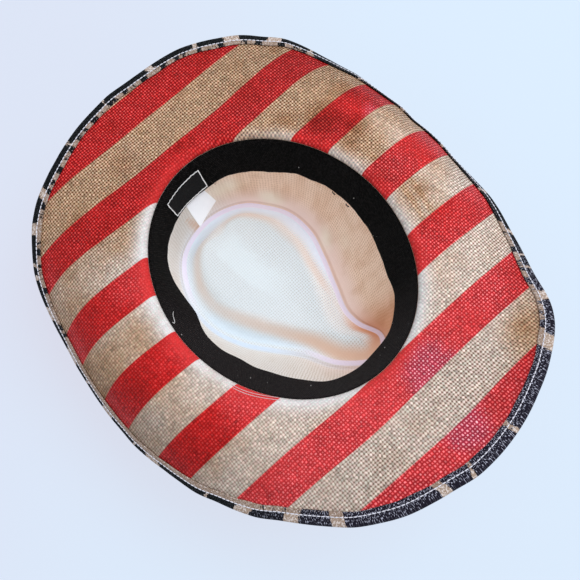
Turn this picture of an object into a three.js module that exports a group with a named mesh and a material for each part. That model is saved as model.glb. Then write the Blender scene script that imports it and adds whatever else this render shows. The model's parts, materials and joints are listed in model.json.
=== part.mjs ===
// Straw cowboy hat with a teardrop crown, lying on its crown with the head opening upward.
// Units are millimetres and +Z is up. The front of the hat is toward -Y. The origin is on the
// surface that the hat lies on, below the middle of the head opening.
import * as THREE from "three";

// The head opening is an ellipse in the plane where the brim breaks into the crown.
const OPENING_HALF_WIDTH = 84.8;
const OPENING_HALF_LENGTH = 100;

// Woven straw
const STRAW_THICKNESS = 1.6;
const BREAK_RADIUS = 6;
const CROWN_DEPTH = 104;
const EVEN_TAPER_SHARE = 0.35;
const CREST_ROUNDNESS = 0.1;
const CREST_FLAT_WIDTH = 3;
const DENT_RISE = 18;
const DENT_SLOPE_WIDTH = 21;
const DENT_CREASE_DEPTH = 1.5;
const DENT_CREASE_START = 0.45;
const DENT_END_ROOM = 24;
const CREST_HALF_LENGTH = 93;

// Height of the break plane: the outside of the crest lies on the surface at z = 0.
const BREAK_HEIGHT = CROWN_DEPTH + STRAW_THICKNESS;

// Rim binding: a folded tape that clears the straw by the gap.
const PIECE_GAP = 0.3;
const TAPE_THICKNESS = 1;
const TAPE_FLANGE = 8;
const TAPE_NOSE = 0.6;

// Sweatband
const BAND_THICKNESS = 1.3;
const BAND_TOP_DEPTH = 1;
const BAND_DEPTH = 30;
const BAND_CURVE = 1.1;

// Labels
const LABEL_THICKNESS = 0.6;
const BAND_LABEL_TURN = -174.5;
const BAND_LABEL_WIDTH = 37;
const BAND_LABEL_TOP = 8;
const BAND_LABEL_BOTTOM = 27;
const CARE_LABEL_TURN = -176.8;
const CARE_LABEL_WIDTH = 20;
const CARE_LABEL_TWIST = 3;

// One row for each section of the hat. turn is in degrees from the front, positive toward +X.
// reach and rise place the rim from the middle of the opening, and curl is the power with which
// the brim bends up or down on its way out. ridgeX, ridgeY and ridgeDepth place the crest of the
// crown. pinch moves the wall inward at mid height. bandInset is how far the free edge of the
// sweatband stands in from the opening.
const SECTION_COLUMNS = [
  "turn", "reach", "rise", "curl", "ridgeX", "ridgeY", "ridgeDepth", "pinch", "bandInset",
];
const SECTIONS = [
  [-180, 182.0, -7.9, 1.13, 0, 96.5, 104, -2, 12],
  [-157.5, 182.7, -7.9, 1.29, -36, 88, 104, -2, 8],
  [-135, 177.4, -22.9, 2.36, -57, 59, 104, -3, 10],
  [-112.5, 159.3, -32.2, 3.34, -61, 26, 104, -3, 17],
  [-90, 156.6, -35.5, 3.07, -52, -1, 104, -2, 14.5],
  [-67.5, 161.3, -25.7, 2.66, -38, -22, 104, 1, 17.5],
  [-45, 167.3, -6.4, 1.92, -23, -43, 104, 5, 18],
  [-22.5, 176.8, 24.2, 1.19, -10, -70, 100, 0, 14],
  [0, 180.0, 34.1, 1.20, 13, -89, 96, -3, 13.5],
  [22.5, 179.3, 21.4, 1.78, 31, -76, 98, -1, 12.5],
  [33.75, 179.0, 8.8, 2.02, 26, -60, 101, 4, 13],
  [45, 168.1, -9.1, 2.24, 25.5, -47, 103, 5, 16],
  [67.5, 159.0, -29.3, 2.73, 35, -22, 104, 1, 15.5],
  [90, 155.5, -33.6, 3.44, 46, 3, 104, -2, 13],
  [112.5, 160.5, -24.2, 4.08, 54, 28, 104, -3, 11],
  [135, 174.5, -9.0, 3.08, 51, 56, 104, -3, 12],
  [146.25, 179.2, -4.2, 2.44, 43, 70, 104, -3, 13],
  [157.5, 181.1, -3.6, 1.87, 33, 83, 104, -2, 11],
];

// How finely the straw is divided
const SPOKE_COUNT = 64;
const BRIM_SHARES = [0.76, 0.58, 0.42, 0.28, 0.16];
const BREAK_ANGLES = [90, 60, 30, 0];
const WALL_SHARES = [0.09, 0.24, 0.4, 0.56, 0.7, 0.82, 0.91, 0.965];
const TOP_SHARES = [0.1, 0.2, 0.32, 0.46, 0.62, 0.85];

const UP = new THREE.Vector3(0, 0, 1);

// Slope of one column at a row, from the parabola through the row and its two neighbours.
function columnSlope(column, row) {
  const count = SECTIONS.length;
  const before = SECTIONS[(row + count - 1) % count];
  const here = SECTIONS[row];
  const after = SECTIONS[(row + 1) % count];
  const stepBefore = (here[0] - before[0] + 360) % 360;
  const stepAfter = (after[0] - here[0] + 360) % 360;
  const slopeBefore = (here[column] - before[column]) / stepBefore;
  const slopeAfter = (after[column] - here[column]) / stepAfter;
  return (slopeBefore * stepAfter + slopeAfter * stepBefore) / (stepBefore + stepAfter);
}

// The section of the hat at any turn, smoothly between the rows of the table.
function sectionAt(turn) {
  const wrapped = ((turn + 180) % 360 + 360) % 360 - 180;
  const count = SECTIONS.length;
  let row = count - 1;
  while (SECTIONS[row][0] > wrapped) {
    row -= 1;
  }
  const next = (row + 1) % count;
  const step = (SECTIONS[next][0] - SECTIONS[row][0] + 360) % 360;
  const u = (wrapped - SECTIONS[row][0]) / step;
  const section = {};
  SECTION_COLUMNS.forEach((name, column) => {
    section[name] =
      (2 * u ** 3 - 3 * u ** 2 + 1) * SECTIONS[row][column] +
      (u ** 3 - 2 * u ** 2 + u) * step * columnSlope(column, row) +
      (3 * u ** 2 - 2 * u ** 3) * SECTIONS[next][column] +
      (u ** 3 - u ** 2) * step * columnSlope(column, next);
  });
  section.turn = turn;
  section.ridgeDepth = Math.min(section.ridgeDepth, CROWN_DEPTH);
  const angle = THREE.MathUtils.degToRad(turn);
  section.out = new THREE.Vector3(Math.sin(angle), -Math.cos(angle), 0);
  section.opening = 1 / Math.hypot(
    Math.sin(angle) / OPENING_HALF_WIDTH,
    Math.cos(angle) / OPENING_HALF_LENGTH,
  );
  return section;
}

function spokeTurns() {
  return Array.from({ length: SPOKE_COUNT }, (_, spoke) => -180 + (360 * spoke) / SPOKE_COUNT);
}

// A point on the underside of the brim. share is 0 at the head opening and 1 at the rim.
function brimPoint(section, share) {
  const run = (section.reach - section.opening) * share;
  const fromTangent = Math.max(BREAK_RADIUS - run, 0);
  const lift = Math.sqrt(BREAK_RADIUS ** 2 - fromTangent ** 2);
  const point = section.out.clone().multiplyScalar(section.opening + run);
  point.z = BREAK_HEIGHT + lift + section.rise * share ** section.curl;
  return point;
}

// The share at a distance in from the rim, measured along the brim.
function brimShareFromRim(section, distance) {
  const step = 0.005;
  let share = 1;
  let travelled = 0;
  let here = brimPoint(section, share);
  while (travelled < distance) {
    const next = brimPoint(section, share - step);
    travelled += next.distanceTo(here);
    share -= step;
    here = next;
  }
  return share;
}

// The crest runs along a ridge curve. inward is its level normal, toward the dent.
function ridgeAt(section) {
  const before = sectionAt(section.turn - 1);
  const after = sectionAt(section.turn + 1);
  const along = new THREE.Vector3(after.ridgeX - before.ridgeX, after.ridgeY - before.ridgeY, 0);
  const inward = new THREE.Vector3(-along.y, along.x, 0).normalize();
  const middle = new THREE.Vector3(section.ridgeX, section.ridgeY, BREAK_HEIGHT - section.ridgeDepth);
  return { middle, inward };
}

// A point on the inner side of the crown wall. share is 0 at the opening and 1 at the crest.
function wallPoint(section, share) {
  const ridge = ridgeAt(section);
  const foot = ridge.middle.clone().addScaledVector(ridge.inward, -CREST_FLAT_WIDTH / 2);
  const taper = EVEN_TAPER_SHARE * share + (1 - EVEN_TAPER_SHARE) * share ** 2;
  const full = Math.hypot(1, CREST_ROUNDNESS);
  const sunk = (full - Math.hypot(1 - share, CREST_ROUNDNESS)) / (full - CREST_ROUNDNESS);
  const point = section.out.clone().multiplyScalar(section.opening);
  point.lerp(new THREE.Vector3(foot.x, foot.y, 0), taper);
  point.addScaledVector(section.out, -section.pinch * 4 * share * (1 - share));
  point.z = BREAK_HEIGHT - section.ridgeDepth * sunk;
  return point;
}

// The inner edge of the crest, which the dent rises from.
function crestInnerEdge(section) {
  const ridge = ridgeAt(section);
  return ridge.middle.clone().addScaledVector(ridge.inward, CREST_FLAT_WIDTH / 2);
}

// The spine of the dent runs midway between the two halves of the crest. Toward its ends it is
// drawn in, which leaves room there for the slope up from the crest.
function spinePoint(section) {
  const spine = crestInnerEdge(section).lerp(crestInnerEdge(sectionAt(-section.turn)), 0.5);
  const toEnd = Math.abs(spine.y) / CREST_HALF_LENGTH;
  spine.y *= 1 - (DENT_END_ROOM / CREST_HALF_LENGTH) * toEnd ** 3;
  return spine;
}

// A point on the inner side of the top. share is 0 at the crest and 1 on the spine of the dent,
// which has a shallow crease along it.
function topPoint(section, share) {
  const edge = crestInnerEdge(section);
  const spine = spinePoint(section);
  const way = Math.hypot(spine.x - edge.x, spine.y - edge.y);
  const point = edge.lerp(spine, share);
  point.z += DENT_RISE * THREE.MathUtils.smoothstep(share * way, 0, DENT_SLOPE_WIDTH);
  point.z -= DENT_CREASE_DEPTH * THREE.MathUtils.smoothstep(share, DENT_CREASE_START, 1);
  return point;
}

const ZONES = { brim: brimPoint, wall: wallPoint, top: topPoint };

// Normal of the straw's inner side at a station, pointing to the side that the wearer sees.
function strawNormal(section, station) {
  if (station.onCrest) {
    return UP.clone();
  }
  const zone = ZONES[station.zone];
  const step = 0.004;
  const low = Math.max(station.share - step, 0);
  const high = Math.min(station.share + step, 1);
  const along = zone(section, high).sub(zone(section, low));
  const across = zone(sectionAt(section.turn + 0.5), station.share);
  across.sub(zone(sectionAt(section.turn - 0.5), station.share));
  const normal = across.cross(along).normalize();
  return station.zone === "brim" ? normal.negate() : normal;
}

// Stations from beside the spine of the dent out to the rim, for one section.
function strawStations(section) {
  const width = section.reach - section.opening;
  const stations = [...TOP_SHARES].reverse().map((share) => ({ zone: "top", share }));
  stations.push({ zone: "top", share: 0, onCrest: true });
  stations.push({ zone: "wall", share: 1, onCrest: true });
  [...WALL_SHARES].reverse().forEach((share) => {
    stations.push({ zone: "wall", share });
  });
  [...BREAK_ANGLES].reverse().forEach((angle) => {
    const run = BREAK_RADIUS * (1 - Math.cos(THREE.MathUtils.degToRad(angle)));
    stations.push({ zone: "brim", share: run / width });
  });
  [...BRIM_SHARES].reverse().forEach((share) => {
    stations.push({ zone: "brim", share });
  });
  [TAPE_FLANGE, TAPE_FLANGE / 2, 0].forEach((distance) => {
    stations.push({ zone: "brim", share: brimShareFromRim(section, distance) });
  });
  return stations;
}

// Point and normal of the straw's inner side at a station.
function strawFrame(section, station) {
  const point = ZONES[station.zone](section, station.share);
  return { point, normal: strawNormal(section, station) };
}

function geometryOf(vertices, triangles) {
  const geometry = new THREE.BufferGeometry();
  const positions = vertices.flatMap((vertex) => vertex.toArray());
  geometry.setAttribute("position", new THREE.Float32BufferAttribute(positions, 3));
  geometry.setIndex(triangles.flat());
  geometry.computeVertexNormals();
  return geometry;
}

// Triangles that close a long ring across its middle, from its first spoke to the opposite one.
function middleStrip(ringStart, count) {
  const triangles = [];
  for (let spoke = 0; spoke < count / 2; spoke += 1) {
    const left = ringStart + spoke;
    const right = ringStart + ((count - spoke) % count);
    const nextRight = ringStart + count - spoke - 1;
    triangles.push([left, left + 1, nextRight], [left, nextRight, right]);
  }
  return triangles.filter(([a, b, c]) => a !== b && b !== c && c !== a);
}

// A closed body from rings of points. Its last ring joins the first, or else both are closed
// across their middles.
function ringSolid(rings, closedAcross = false) {
  const count = rings[0].length;
  const vertices = rings.flat();
  const triangles = [];
  const last = closedAcross ? rings.length - 1 : rings.length;
  for (let ring = 0; ring < last; ring += 1) {
    for (let spoke = 0; spoke < count; spoke += 1) {
      const nextSpoke = (spoke + 1) % count;
      const near = ring * count;
      const far = ((ring + 1) % rings.length) * count;
      triangles.push([near + spoke, far + spoke, far + nextSpoke]);
      triangles.push([near + spoke, far + nextSpoke, near + nextSpoke]);
    }
  }
  if (closedAcross) {
    triangles.push(...middleStrip(0, count));
    const lastStrip = middleStrip((rings.length - 1) * count, count);
    triangles.push(...lastStrip.map(([a, b, c]) => [a, c, b]));
  }
  return geometryOf(vertices, triangles);
}

// A closed thin body between two grids of points, front and back.
function sheetSolid(front, back) {
  const rows = front.length;
  const columns = front[0].length;
  const vertices = [...front.flat(), ...back.flat()];
  const offset = rows * columns;
  const triangles = [];
  const quad = (a, b, c, d) => {
    triangles.push([a, b, c], [a, c, d]);
  };
  for (let row = 0; row + 1 < rows; row += 1) {
    for (let column = 0; column + 1 < columns; column += 1) {
      const a = row * columns + column;
      const below = a + columns;
      quad(a, a + 1, below + 1, below);
      quad(offset + a, offset + below, offset + below + 1, offset + a + 1);
    }
  }
  const border = [];
  for (let column = 0; column + 1 < columns; column += 1) {
    border.push(column);
  }
  for (let row = 0; row + 1 < rows; row += 1) {
    border.push(row * columns + columns - 1);
  }
  for (let column = columns - 1; column > 0; column -= 1) {
    border.push((rows - 1) * columns + column);
  }
  for (let row = rows - 1; row > 0; row -= 1) {
    border.push(row * columns);
  }
  border.forEach((a, index) => {
    const b = border[(index + 1) % border.length];
    quad(a, offset + a, offset + b, b);
  });
  return geometryOf(vertices, triangles);
}

function strawBodyGeometry() {
  const sections = spokeTurns().map(sectionAt);
  const stations = sections.map(strawStations);
  const frames = sections.map((section, spoke) =>
    stations[spoke].map((station) => strawFrame(section, station)));
  const innerRings = frames[0].map((_, ring) => frames.map((spoke) => spoke[ring].point));
  const outerRings = frames[0].map((_, ring) => frames.map((spoke) =>
    spoke[ring].point.clone().addScaledVector(spoke[ring].normal, -STRAW_THICKNESS)));
  return ringSolid([...innerRings, ...outerRings.reverse()], true);
}

// Section of the folded tape: round the channel that holds the straw, then round the outside.
function rimBindingGeometry() {
  const loops = spokeTurns().map((turn) => {
    const section = sectionAt(turn);
    const [edge, middle, rim] = [TAPE_FLANGE, TAPE_FLANGE / 2, 0].map((distance) =>
      strawFrame(section, { zone: "brim", share: brimShareFromRim(section, distance) }));
    const out = rim.point.clone().sub(brimPoint(section, 0.99)).normalize();
    const place = (frame, height, forward) =>
      frame.point.clone().addScaledVector(frame.normal, height).addScaledVector(out, forward);
    const above = PIECE_GAP;
    const below = -STRAW_THICKNESS - PIECE_GAP;
    const top = above + TAPE_THICKNESS;
    const bottom = below - TAPE_THICKNESS;
    return [
      place(edge, above, 0),
      place(middle, above, 0),
      place(rim, above, PIECE_GAP),
      place(rim, below, PIECE_GAP),
      place(middle, below, 0),
      place(edge, below, 0),
      place(edge, bottom, 0),
      place(middle, bottom, 0),
      place(rim, bottom, PIECE_GAP + TAPE_NOSE),
      place(rim, (above + below) / 2, PIECE_GAP + TAPE_THICKNESS + TAPE_NOSE),
      place(rim, top, PIECE_GAP + TAPE_NOSE),
      place(middle, top, 0),
      place(edge, top, 0),
    ];
  });
  const rings = loops[0].map((_, corner) => loops.map((loop) => loop[corner]));
  return ringSolid(rings.reverse());
}

// How far the outer side of the sweatband stands in from the opening at a depth.
function bandOuterInset(section, depth) {
  const free = section.bandInset - BAND_THICKNESS - PIECE_GAP;
  return PIECE_GAP + free * (depth / BAND_DEPTH) ** BAND_CURVE;
}

// A point at an inset from the head opening and a depth below the break plane.
function insetPoint(section, inset, depth) {
  const point = section.out.clone().multiplyScalar(section.opening - inset);
  point.z = BREAK_HEIGHT - depth;
  return point;
}

function sweatbandGeometry() {
  const depths = [BAND_TOP_DEPTH, 8, 15.5, 23, BAND_DEPTH];
  const sections = spokeTurns().map(sectionAt);
  const innerRings = depths.map((depth) => sections.map((section) =>
    insetPoint(section, bandOuterInset(section, depth) + BAND_THICKNESS, depth)));
  const outerRings = depths.map((depth) => sections.map((section) =>
    insetPoint(section, bandOuterInset(section, depth), depth)));
  return ringSolid([...innerRings.reverse(), ...outerRings]);
}

// Sections across a label of the given width, centred on a turn.
function labelSections(centreTurn, width, count) {
  const radius = sectionAt(centreTurn).opening;
  const halfTurn = THREE.MathUtils.radToDeg(width / 2 / radius);
  return Array.from({ length: count }, (_, index) =>
    sectionAt(centreTurn - halfTurn + (2 * halfTurn * index) / (count - 1)));
}

function bandLabelGeometry() {
  const sections = labelSections(BAND_LABEL_TURN, BAND_LABEL_WIDTH, 8);
  const depths = [0, 1 / 3, 2 / 3, 1].map((share) =>
    THREE.MathUtils.lerp(BAND_LABEL_TOP, BAND_LABEL_BOTTOM, share));
  const seat = BAND_THICKNESS + PIECE_GAP;
  const face = (extra) => depths.map((depth) => sections.map((section) =>
    insetPoint(section, bandOuterInset(section, depth) + seat + extra, depth)));
  return sheetSolid(face(LABEL_THICKNESS), face(0));
}

// The care label follows the back of the sweatband down and then leans in under its free edge.
// inset is counted from the outer side of the sweatband, and twist is the share of the twist.
const CARE_LABEL_COURSE = [
  { depth: 5, inset: -PIECE_GAP, twist: 0 },
  { depth: 14, inset: -PIECE_GAP, twist: 0 },
  { depth: 23, inset: -PIECE_GAP, twist: 0 },
  { depth: 31.5, inset: -PIECE_GAP, twist: 0 },
  { depth: 36, inset: 0.8, twist: 0.3 },
  { depth: 41, inset: 2.2, twist: 0.65 },
  { depth: 46, inset: 3.6, twist: 1 },
];

function careLabelGeometry() {
  const sections = labelSections(CARE_LABEL_TURN, CARE_LABEL_WIDTH, 5);
  const face = (extra) => CARE_LABEL_COURSE.map((row) => sections.map((section, index) => {
    const side = (2 * index) / (sections.length - 1) - 1;
    const twist = -CARE_LABEL_TWIST * row.twist * side;
    const inset = bandOuterInset(section, row.depth) + row.inset + twist;
    return insetPoint(section, inset + extra, row.depth);
  }));
  return sheetSolid(face(0), face(-LABEL_THICKNESS));
}

// Materials
const strawMaterial = new THREE.MeshStandardMaterial({ color: 0xc4714f, roughness: 0.62, metalness: 0 });
const tapeMaterial = new THREE.MeshStandardMaterial({ color: 0x23262f, roughness: 0.8, metalness: 0 });
const bandMaterial = new THREE.MeshStandardMaterial({ color: 0x14110f, roughness: 0.9, metalness: 0 });
const blackLabelMaterial = new THREE.MeshStandardMaterial({ color: 0x0c0b0b, roughness: 0.55, metalness: 0 });
const whiteLabelMaterial = new THREE.MeshStandardMaterial({ color: 0xf1efee, roughness: 0.6, metalness: 0 });

function namedMesh(name, geometry, material) {
  const mesh = new THREE.Mesh(geometry, material);
  mesh.name = name;
  return mesh;
}

const hat = new THREE.Group();
hat.add(
  namedMesh("straw_body", strawBodyGeometry(), strawMaterial),
  namedMesh("rim_binding", rimBindingGeometry(), tapeMaterial),
  namedMesh("sweatband", sweatbandGeometry(), bandMaterial),
  namedMesh("band_label", bandLabelGeometry(), blackLabelMaterial),
  namedMesh("care_label", careLabelGeometry(), whiteLabelMaterial),
);

export default hat;
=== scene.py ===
"""Straw cowboy hat lying on its crown, with the woven surfaces, tape, band and labels finished."""

import json
import logging
import math
from dataclasses import dataclass, field
from enum import Enum

import bmesh
import bpy
import numpy as np
from mathutils import Matrix, Vector

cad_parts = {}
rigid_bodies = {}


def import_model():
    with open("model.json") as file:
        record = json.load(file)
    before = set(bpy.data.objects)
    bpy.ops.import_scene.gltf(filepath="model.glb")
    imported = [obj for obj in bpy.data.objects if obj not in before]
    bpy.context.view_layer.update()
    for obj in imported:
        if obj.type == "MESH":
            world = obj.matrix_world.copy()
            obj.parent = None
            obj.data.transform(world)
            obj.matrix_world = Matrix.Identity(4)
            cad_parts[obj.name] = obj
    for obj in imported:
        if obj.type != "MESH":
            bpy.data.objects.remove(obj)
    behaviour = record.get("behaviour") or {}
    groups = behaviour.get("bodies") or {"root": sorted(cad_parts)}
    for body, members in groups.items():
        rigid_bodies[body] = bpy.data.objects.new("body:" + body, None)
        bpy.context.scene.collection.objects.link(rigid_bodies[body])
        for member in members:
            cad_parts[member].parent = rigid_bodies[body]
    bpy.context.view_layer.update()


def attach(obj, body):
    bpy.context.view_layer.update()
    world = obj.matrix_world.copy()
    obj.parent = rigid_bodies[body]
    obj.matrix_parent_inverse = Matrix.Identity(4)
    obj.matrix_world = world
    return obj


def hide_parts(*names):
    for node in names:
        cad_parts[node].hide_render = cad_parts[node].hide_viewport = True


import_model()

MM = 0.001
BODY = "root"
LOG = logging.getLogger("straw_hat")

Colour = tuple[float, float, float]
Rows = tuple[tuple[float, ...], ...]


class Slot(Enum):
    """The record's material slots."""

    STRAW = "striped_straw"
    TAPE = "rim_tape"
    BAND = "band_cloth"
    LABEL_BLACK = "label_black"
    LABEL_WHITE = "label_white"


class StrawFace(Enum):
    """The sides of the straw that are finished in their own way. The value is the slot index."""

    UNDERSIDE = 0
    CROWN_INSIDE = 1
    OUTSIDE = 2


# ---- shader and geometry node helpers


class NodeGraph:
    """A node tree whose nodes are added one call at a time."""

    def __init__(self, tree: bpy.types.NodeTree) -> None:
        """Keeps the tree that the nodes go into."""
        self.tree = tree

    def add(self, kind: str, *inputs: object, named: dict[str, object] | None = None,
            **settings: object) -> bpy.types.Node:
        """Adds a node, sets its settings and feeds its inputs.

        Args:
            kind: The node's type name.
            inputs: What feeds the first inputs in order, None to leave one alone.
            named: What feeds inputs by their names.
            settings: Attributes to set on the node.

        Returns:
            The new node.
        """
        node = self.tree.nodes.new(kind)
        for key, value in settings.items():
            setattr(node, key, value)
        pairs = list(zip(node.inputs, inputs))
        for socket, value in pairs + [(node.inputs[key], v) for key, v in (named or {}).items()]:
            self.feed(socket, value)
        return node

    def feed(self, socket: bpy.types.NodeSocket, value: object) -> None:
        """Links something to an input, or sets the input's value.

        Args:
            socket: The input.
            value: A signal, a socket, a plain value, or None to leave the input alone.
        """
        value = value.socket if isinstance(value, Signal) else value
        if isinstance(value, bpy.types.NodeSocket):
            self.tree.links.new(value, socket)
        elif value is not None:
            wide = isinstance(value, tuple) and len(value) == 3 and socket.type == "RGBA"
            socket.default_value = (*value, 1.0) if wide else value


@dataclass(frozen=True)
class Signal:
    """A value or colour in a material. Arithmetic on it adds Math nodes to the material."""

    tree: "ShaderTree"
    socket: bpy.types.NodeSocket

    def math(self, operation: str, *others: object) -> "Signal":
        """Returns the result of a Math node on this value and others."""
        return self.tree.out("ShaderNodeMath", self, *others, operation=operation)

    def __add__(self, other: object) -> "Signal":
        """Returns the sum."""
        return self.math("ADD", other)

    def __sub__(self, other: object) -> "Signal":
        """Returns the difference."""
        return self.math("SUBTRACT", other)

    def __rsub__(self, other: float) -> "Signal":
        """Returns what is left of a plain number."""
        return self.tree.out("ShaderNodeMath", other, self, operation="SUBTRACT")

    def __mul__(self, other: object) -> "Signal":
        """Returns the product."""
        return self.math("MULTIPLY", other)

    def __abs__(self) -> "Signal":
        """Returns the value without its sign."""
        return self.math("ABSOLUTE")

    def wave(self, length: float) -> "Signal":
        """Returns a sine that is zero at each multiple of a length."""
        return (self * (math.pi / length)).math("SINE")

    def step(self, low: float, high: float) -> "Signal":
        """Returns a smooth step from 0 at low to 1 at high, where low may be the larger."""
        ends = (1.0, 0.0) if low > high else (0.0, 1.0)
        return self.tree.out("ShaderNodeMapRange", self, min(low, high), max(low, high), *ends,
                             interpolation_type="SMOOTHSTEP")

    def pick(self, first: "Signal", second: "Signal") -> "Signal":
        """Returns the first value where this one is 1 and the second where it is 0."""
        return (first - second).math("MULTIPLY_ADD", self, second)

    def mix(self, share: object, other: object) -> "Signal":
        """Returns this colour with a share of another over it."""
        return self.tree.blend(share, self, other)

    def tint(self, share: object, other: object) -> "Signal":
        """Returns this colour, a share of it multiplied by another."""
        return self.tree.blend(share, self, other, "MULTIPLY")


class ShaderTree(NodeGraph):
    """A material."""

    def __init__(self, name: str) -> None:
        """Starts an empty material.

        Args:
            name: The material's name.
        """
        self.material = bpy.data.materials.new(name)
        self.material.use_nodes = True
        super().__init__(self.material.node_tree)
        self.tree.nodes.clear()

    def out(self, kind: str, *inputs: object, **settings: object) -> Signal:
        """Returns the first output of a new node."""
        return Signal(self, self.add(kind, *inputs, **settings).outputs[0])

    def blend(self, share: object, first: object, second: object, kind: str = "MIX") -> Signal:
        """Mixes two colours.

        Args:
            share: How much of the second, from 0 to 1.
            first: A colour.
            second: A colour.
            kind: The mix node's blend type.

        Returns:
            The mixed colour.
        """
        node = self.add("ShaderNodeMix", share, data_type="RGBA", blend_type=kind)
        self.feed(node.inputs[6], first)
        self.feed(node.inputs[7], second)
        return Signal(self, node.outputs[2])

    def uv(self, name: str) -> tuple[Signal, Signal]:
        """Returns the two numbers of a UV map."""
        return tuple(self.split(self.uv_vector(name))[:2])

    def uv_vector(self, name: str) -> Signal:
        """Returns a UV map's coordinates as a vector."""
        return self.out("ShaderNodeUVMap", uv_map=name)

    def split(self, vector: Signal) -> list[Signal]:
        """Returns the parts of a vector."""
        return [Signal(self, part) for part in self.add("ShaderNodeSeparateXYZ", vector).outputs]

    def join(self, *parts: object) -> Signal:
        """Returns a vector of three parts."""
        return self.out("ShaderNodeCombineXYZ", *parts)

    def objects(self) -> Signal:
        """Returns the object coordinates, in metres."""
        return Signal(self, self.add("ShaderNodeTexCoord").outputs["Object"])

    def noise(self, vector: Signal, scale: float, detail: float = 2.0) -> Signal:
        """Returns noise from 0 to 1, with a number of waves per unit and of finer octaves."""
        return self.out("ShaderNodeTexNoise",
                        named={"Vector": vector, "Scale": scale, "Detail": detail})

    def bump(self, height: Signal, millimetres: float, strength: float,
             under: Signal | None = None) -> Signal:
        """Returns a normal bumped by a height, over another bumped normal if there is one."""
        return self.out("ShaderNodeBump", named={
            "Strength": strength, "Distance": millimetres * MM, "Height": height, "Normal": under})

    def shade(self, colour: object, roughness: object, normal: Signal | None = None,
              **sockets: object) -> bpy.types.Material:
        """Ends the material in one Principled shader.

        Args:
            colour: The base colour.
            roughness: The roughness.
            normal: The bumped normal, if any.
            sockets: More inputs, with underscores for the spaces in their names.

        Returns:
            The finished material.
        """
        inputs = {"Base Color": colour, "Roughness": roughness, "Normal": normal}
        inputs.update((name.replace("_", " "), value) for name, value in sockets.items())
        self.add("ShaderNodeOutputMaterial", self.out("ShaderNodeBsdfPrincipled", named=inputs))
        return self.material


class GeometryTree(NodeGraph):
    """A Geometry Nodes tree with named inputs, which ends in Realize Instances and Set Material."""

    def __init__(self, name: str, sizes: dict[str, float | int]) -> None:
        """Starts the tree.

        Args:
            name: The tree's name.
            sizes: The named inputs and their values.
        """
        super().__init__(bpy.data.node_groups.new(name, "GeometryNodeTree"))
        face = self.tree.interface
        face.new_socket(name="Geometry", in_out="INPUT", socket_type="NodeSocketGeometry")
        face.new_socket(name="Geometry", in_out="OUTPUT", socket_type="NodeSocketGeometry")
        self.values: dict[str, float | int] = {}
        for key, value in sizes.items():
            kind = "NodeSocketInt" if isinstance(value, int) else "NodeSocketFloat"
            socket = face.new_socket(name=key, in_out="INPUT", socket_type=kind)
            self.values[socket.identifier] = value
        self.source = self.add("NodeGroupInput").outputs

    def out(self, kind: str, *inputs: object, **settings: object) -> bpy.types.NodeSocket:
        """Returns the first output of a new node."""
        return self.add(kind, *inputs, **settings).outputs[0]

    def bake(self, carrier: bpy.types.Object, name: str, instances: bpy.types.NodeSocket,
             material: bpy.types.Material) -> bpy.types.Object:
        """Realises the instances on a carrier as a plain mesh and takes the carrier away.

        Args:
            carrier: The object that the tree reads.
            name: The new piece's name.
            instances: The instances.
            material: The finish of the result.

        Returns:
            The new piece.
        """
        real = self.out("GeometryNodeRealizeInstances", instances)
        self.add("NodeGroupOutput", self.out(
            "GeometryNodeSetMaterial", named={"Geometry": real, "Material": material}))
        modifier = carrier.modifiers.new(name, "NODES")
        modifier.node_group = self.tree
        for identifier, value in self.values.items():
            modifier[identifier] = value
        depsgraph = bpy.context.evaluated_depsgraph_get()
        mesh = bpy.data.meshes.new_from_object(carrier.evaluated_get(depsgraph))
        mesh.name = name
        carrier.modifiers.remove(modifier)
        bpy.data.objects.remove(carrier)
        return link_object(name, mesh)


def link_object(name: str, data: bpy.types.ID) -> bpy.types.Object:
    """Returns a new object in the scene that shows a mesh, a lamp or a camera."""
    piece = bpy.data.objects.new(name, data)
    bpy.context.scene.collection.objects.link(piece)
    return piece


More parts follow.
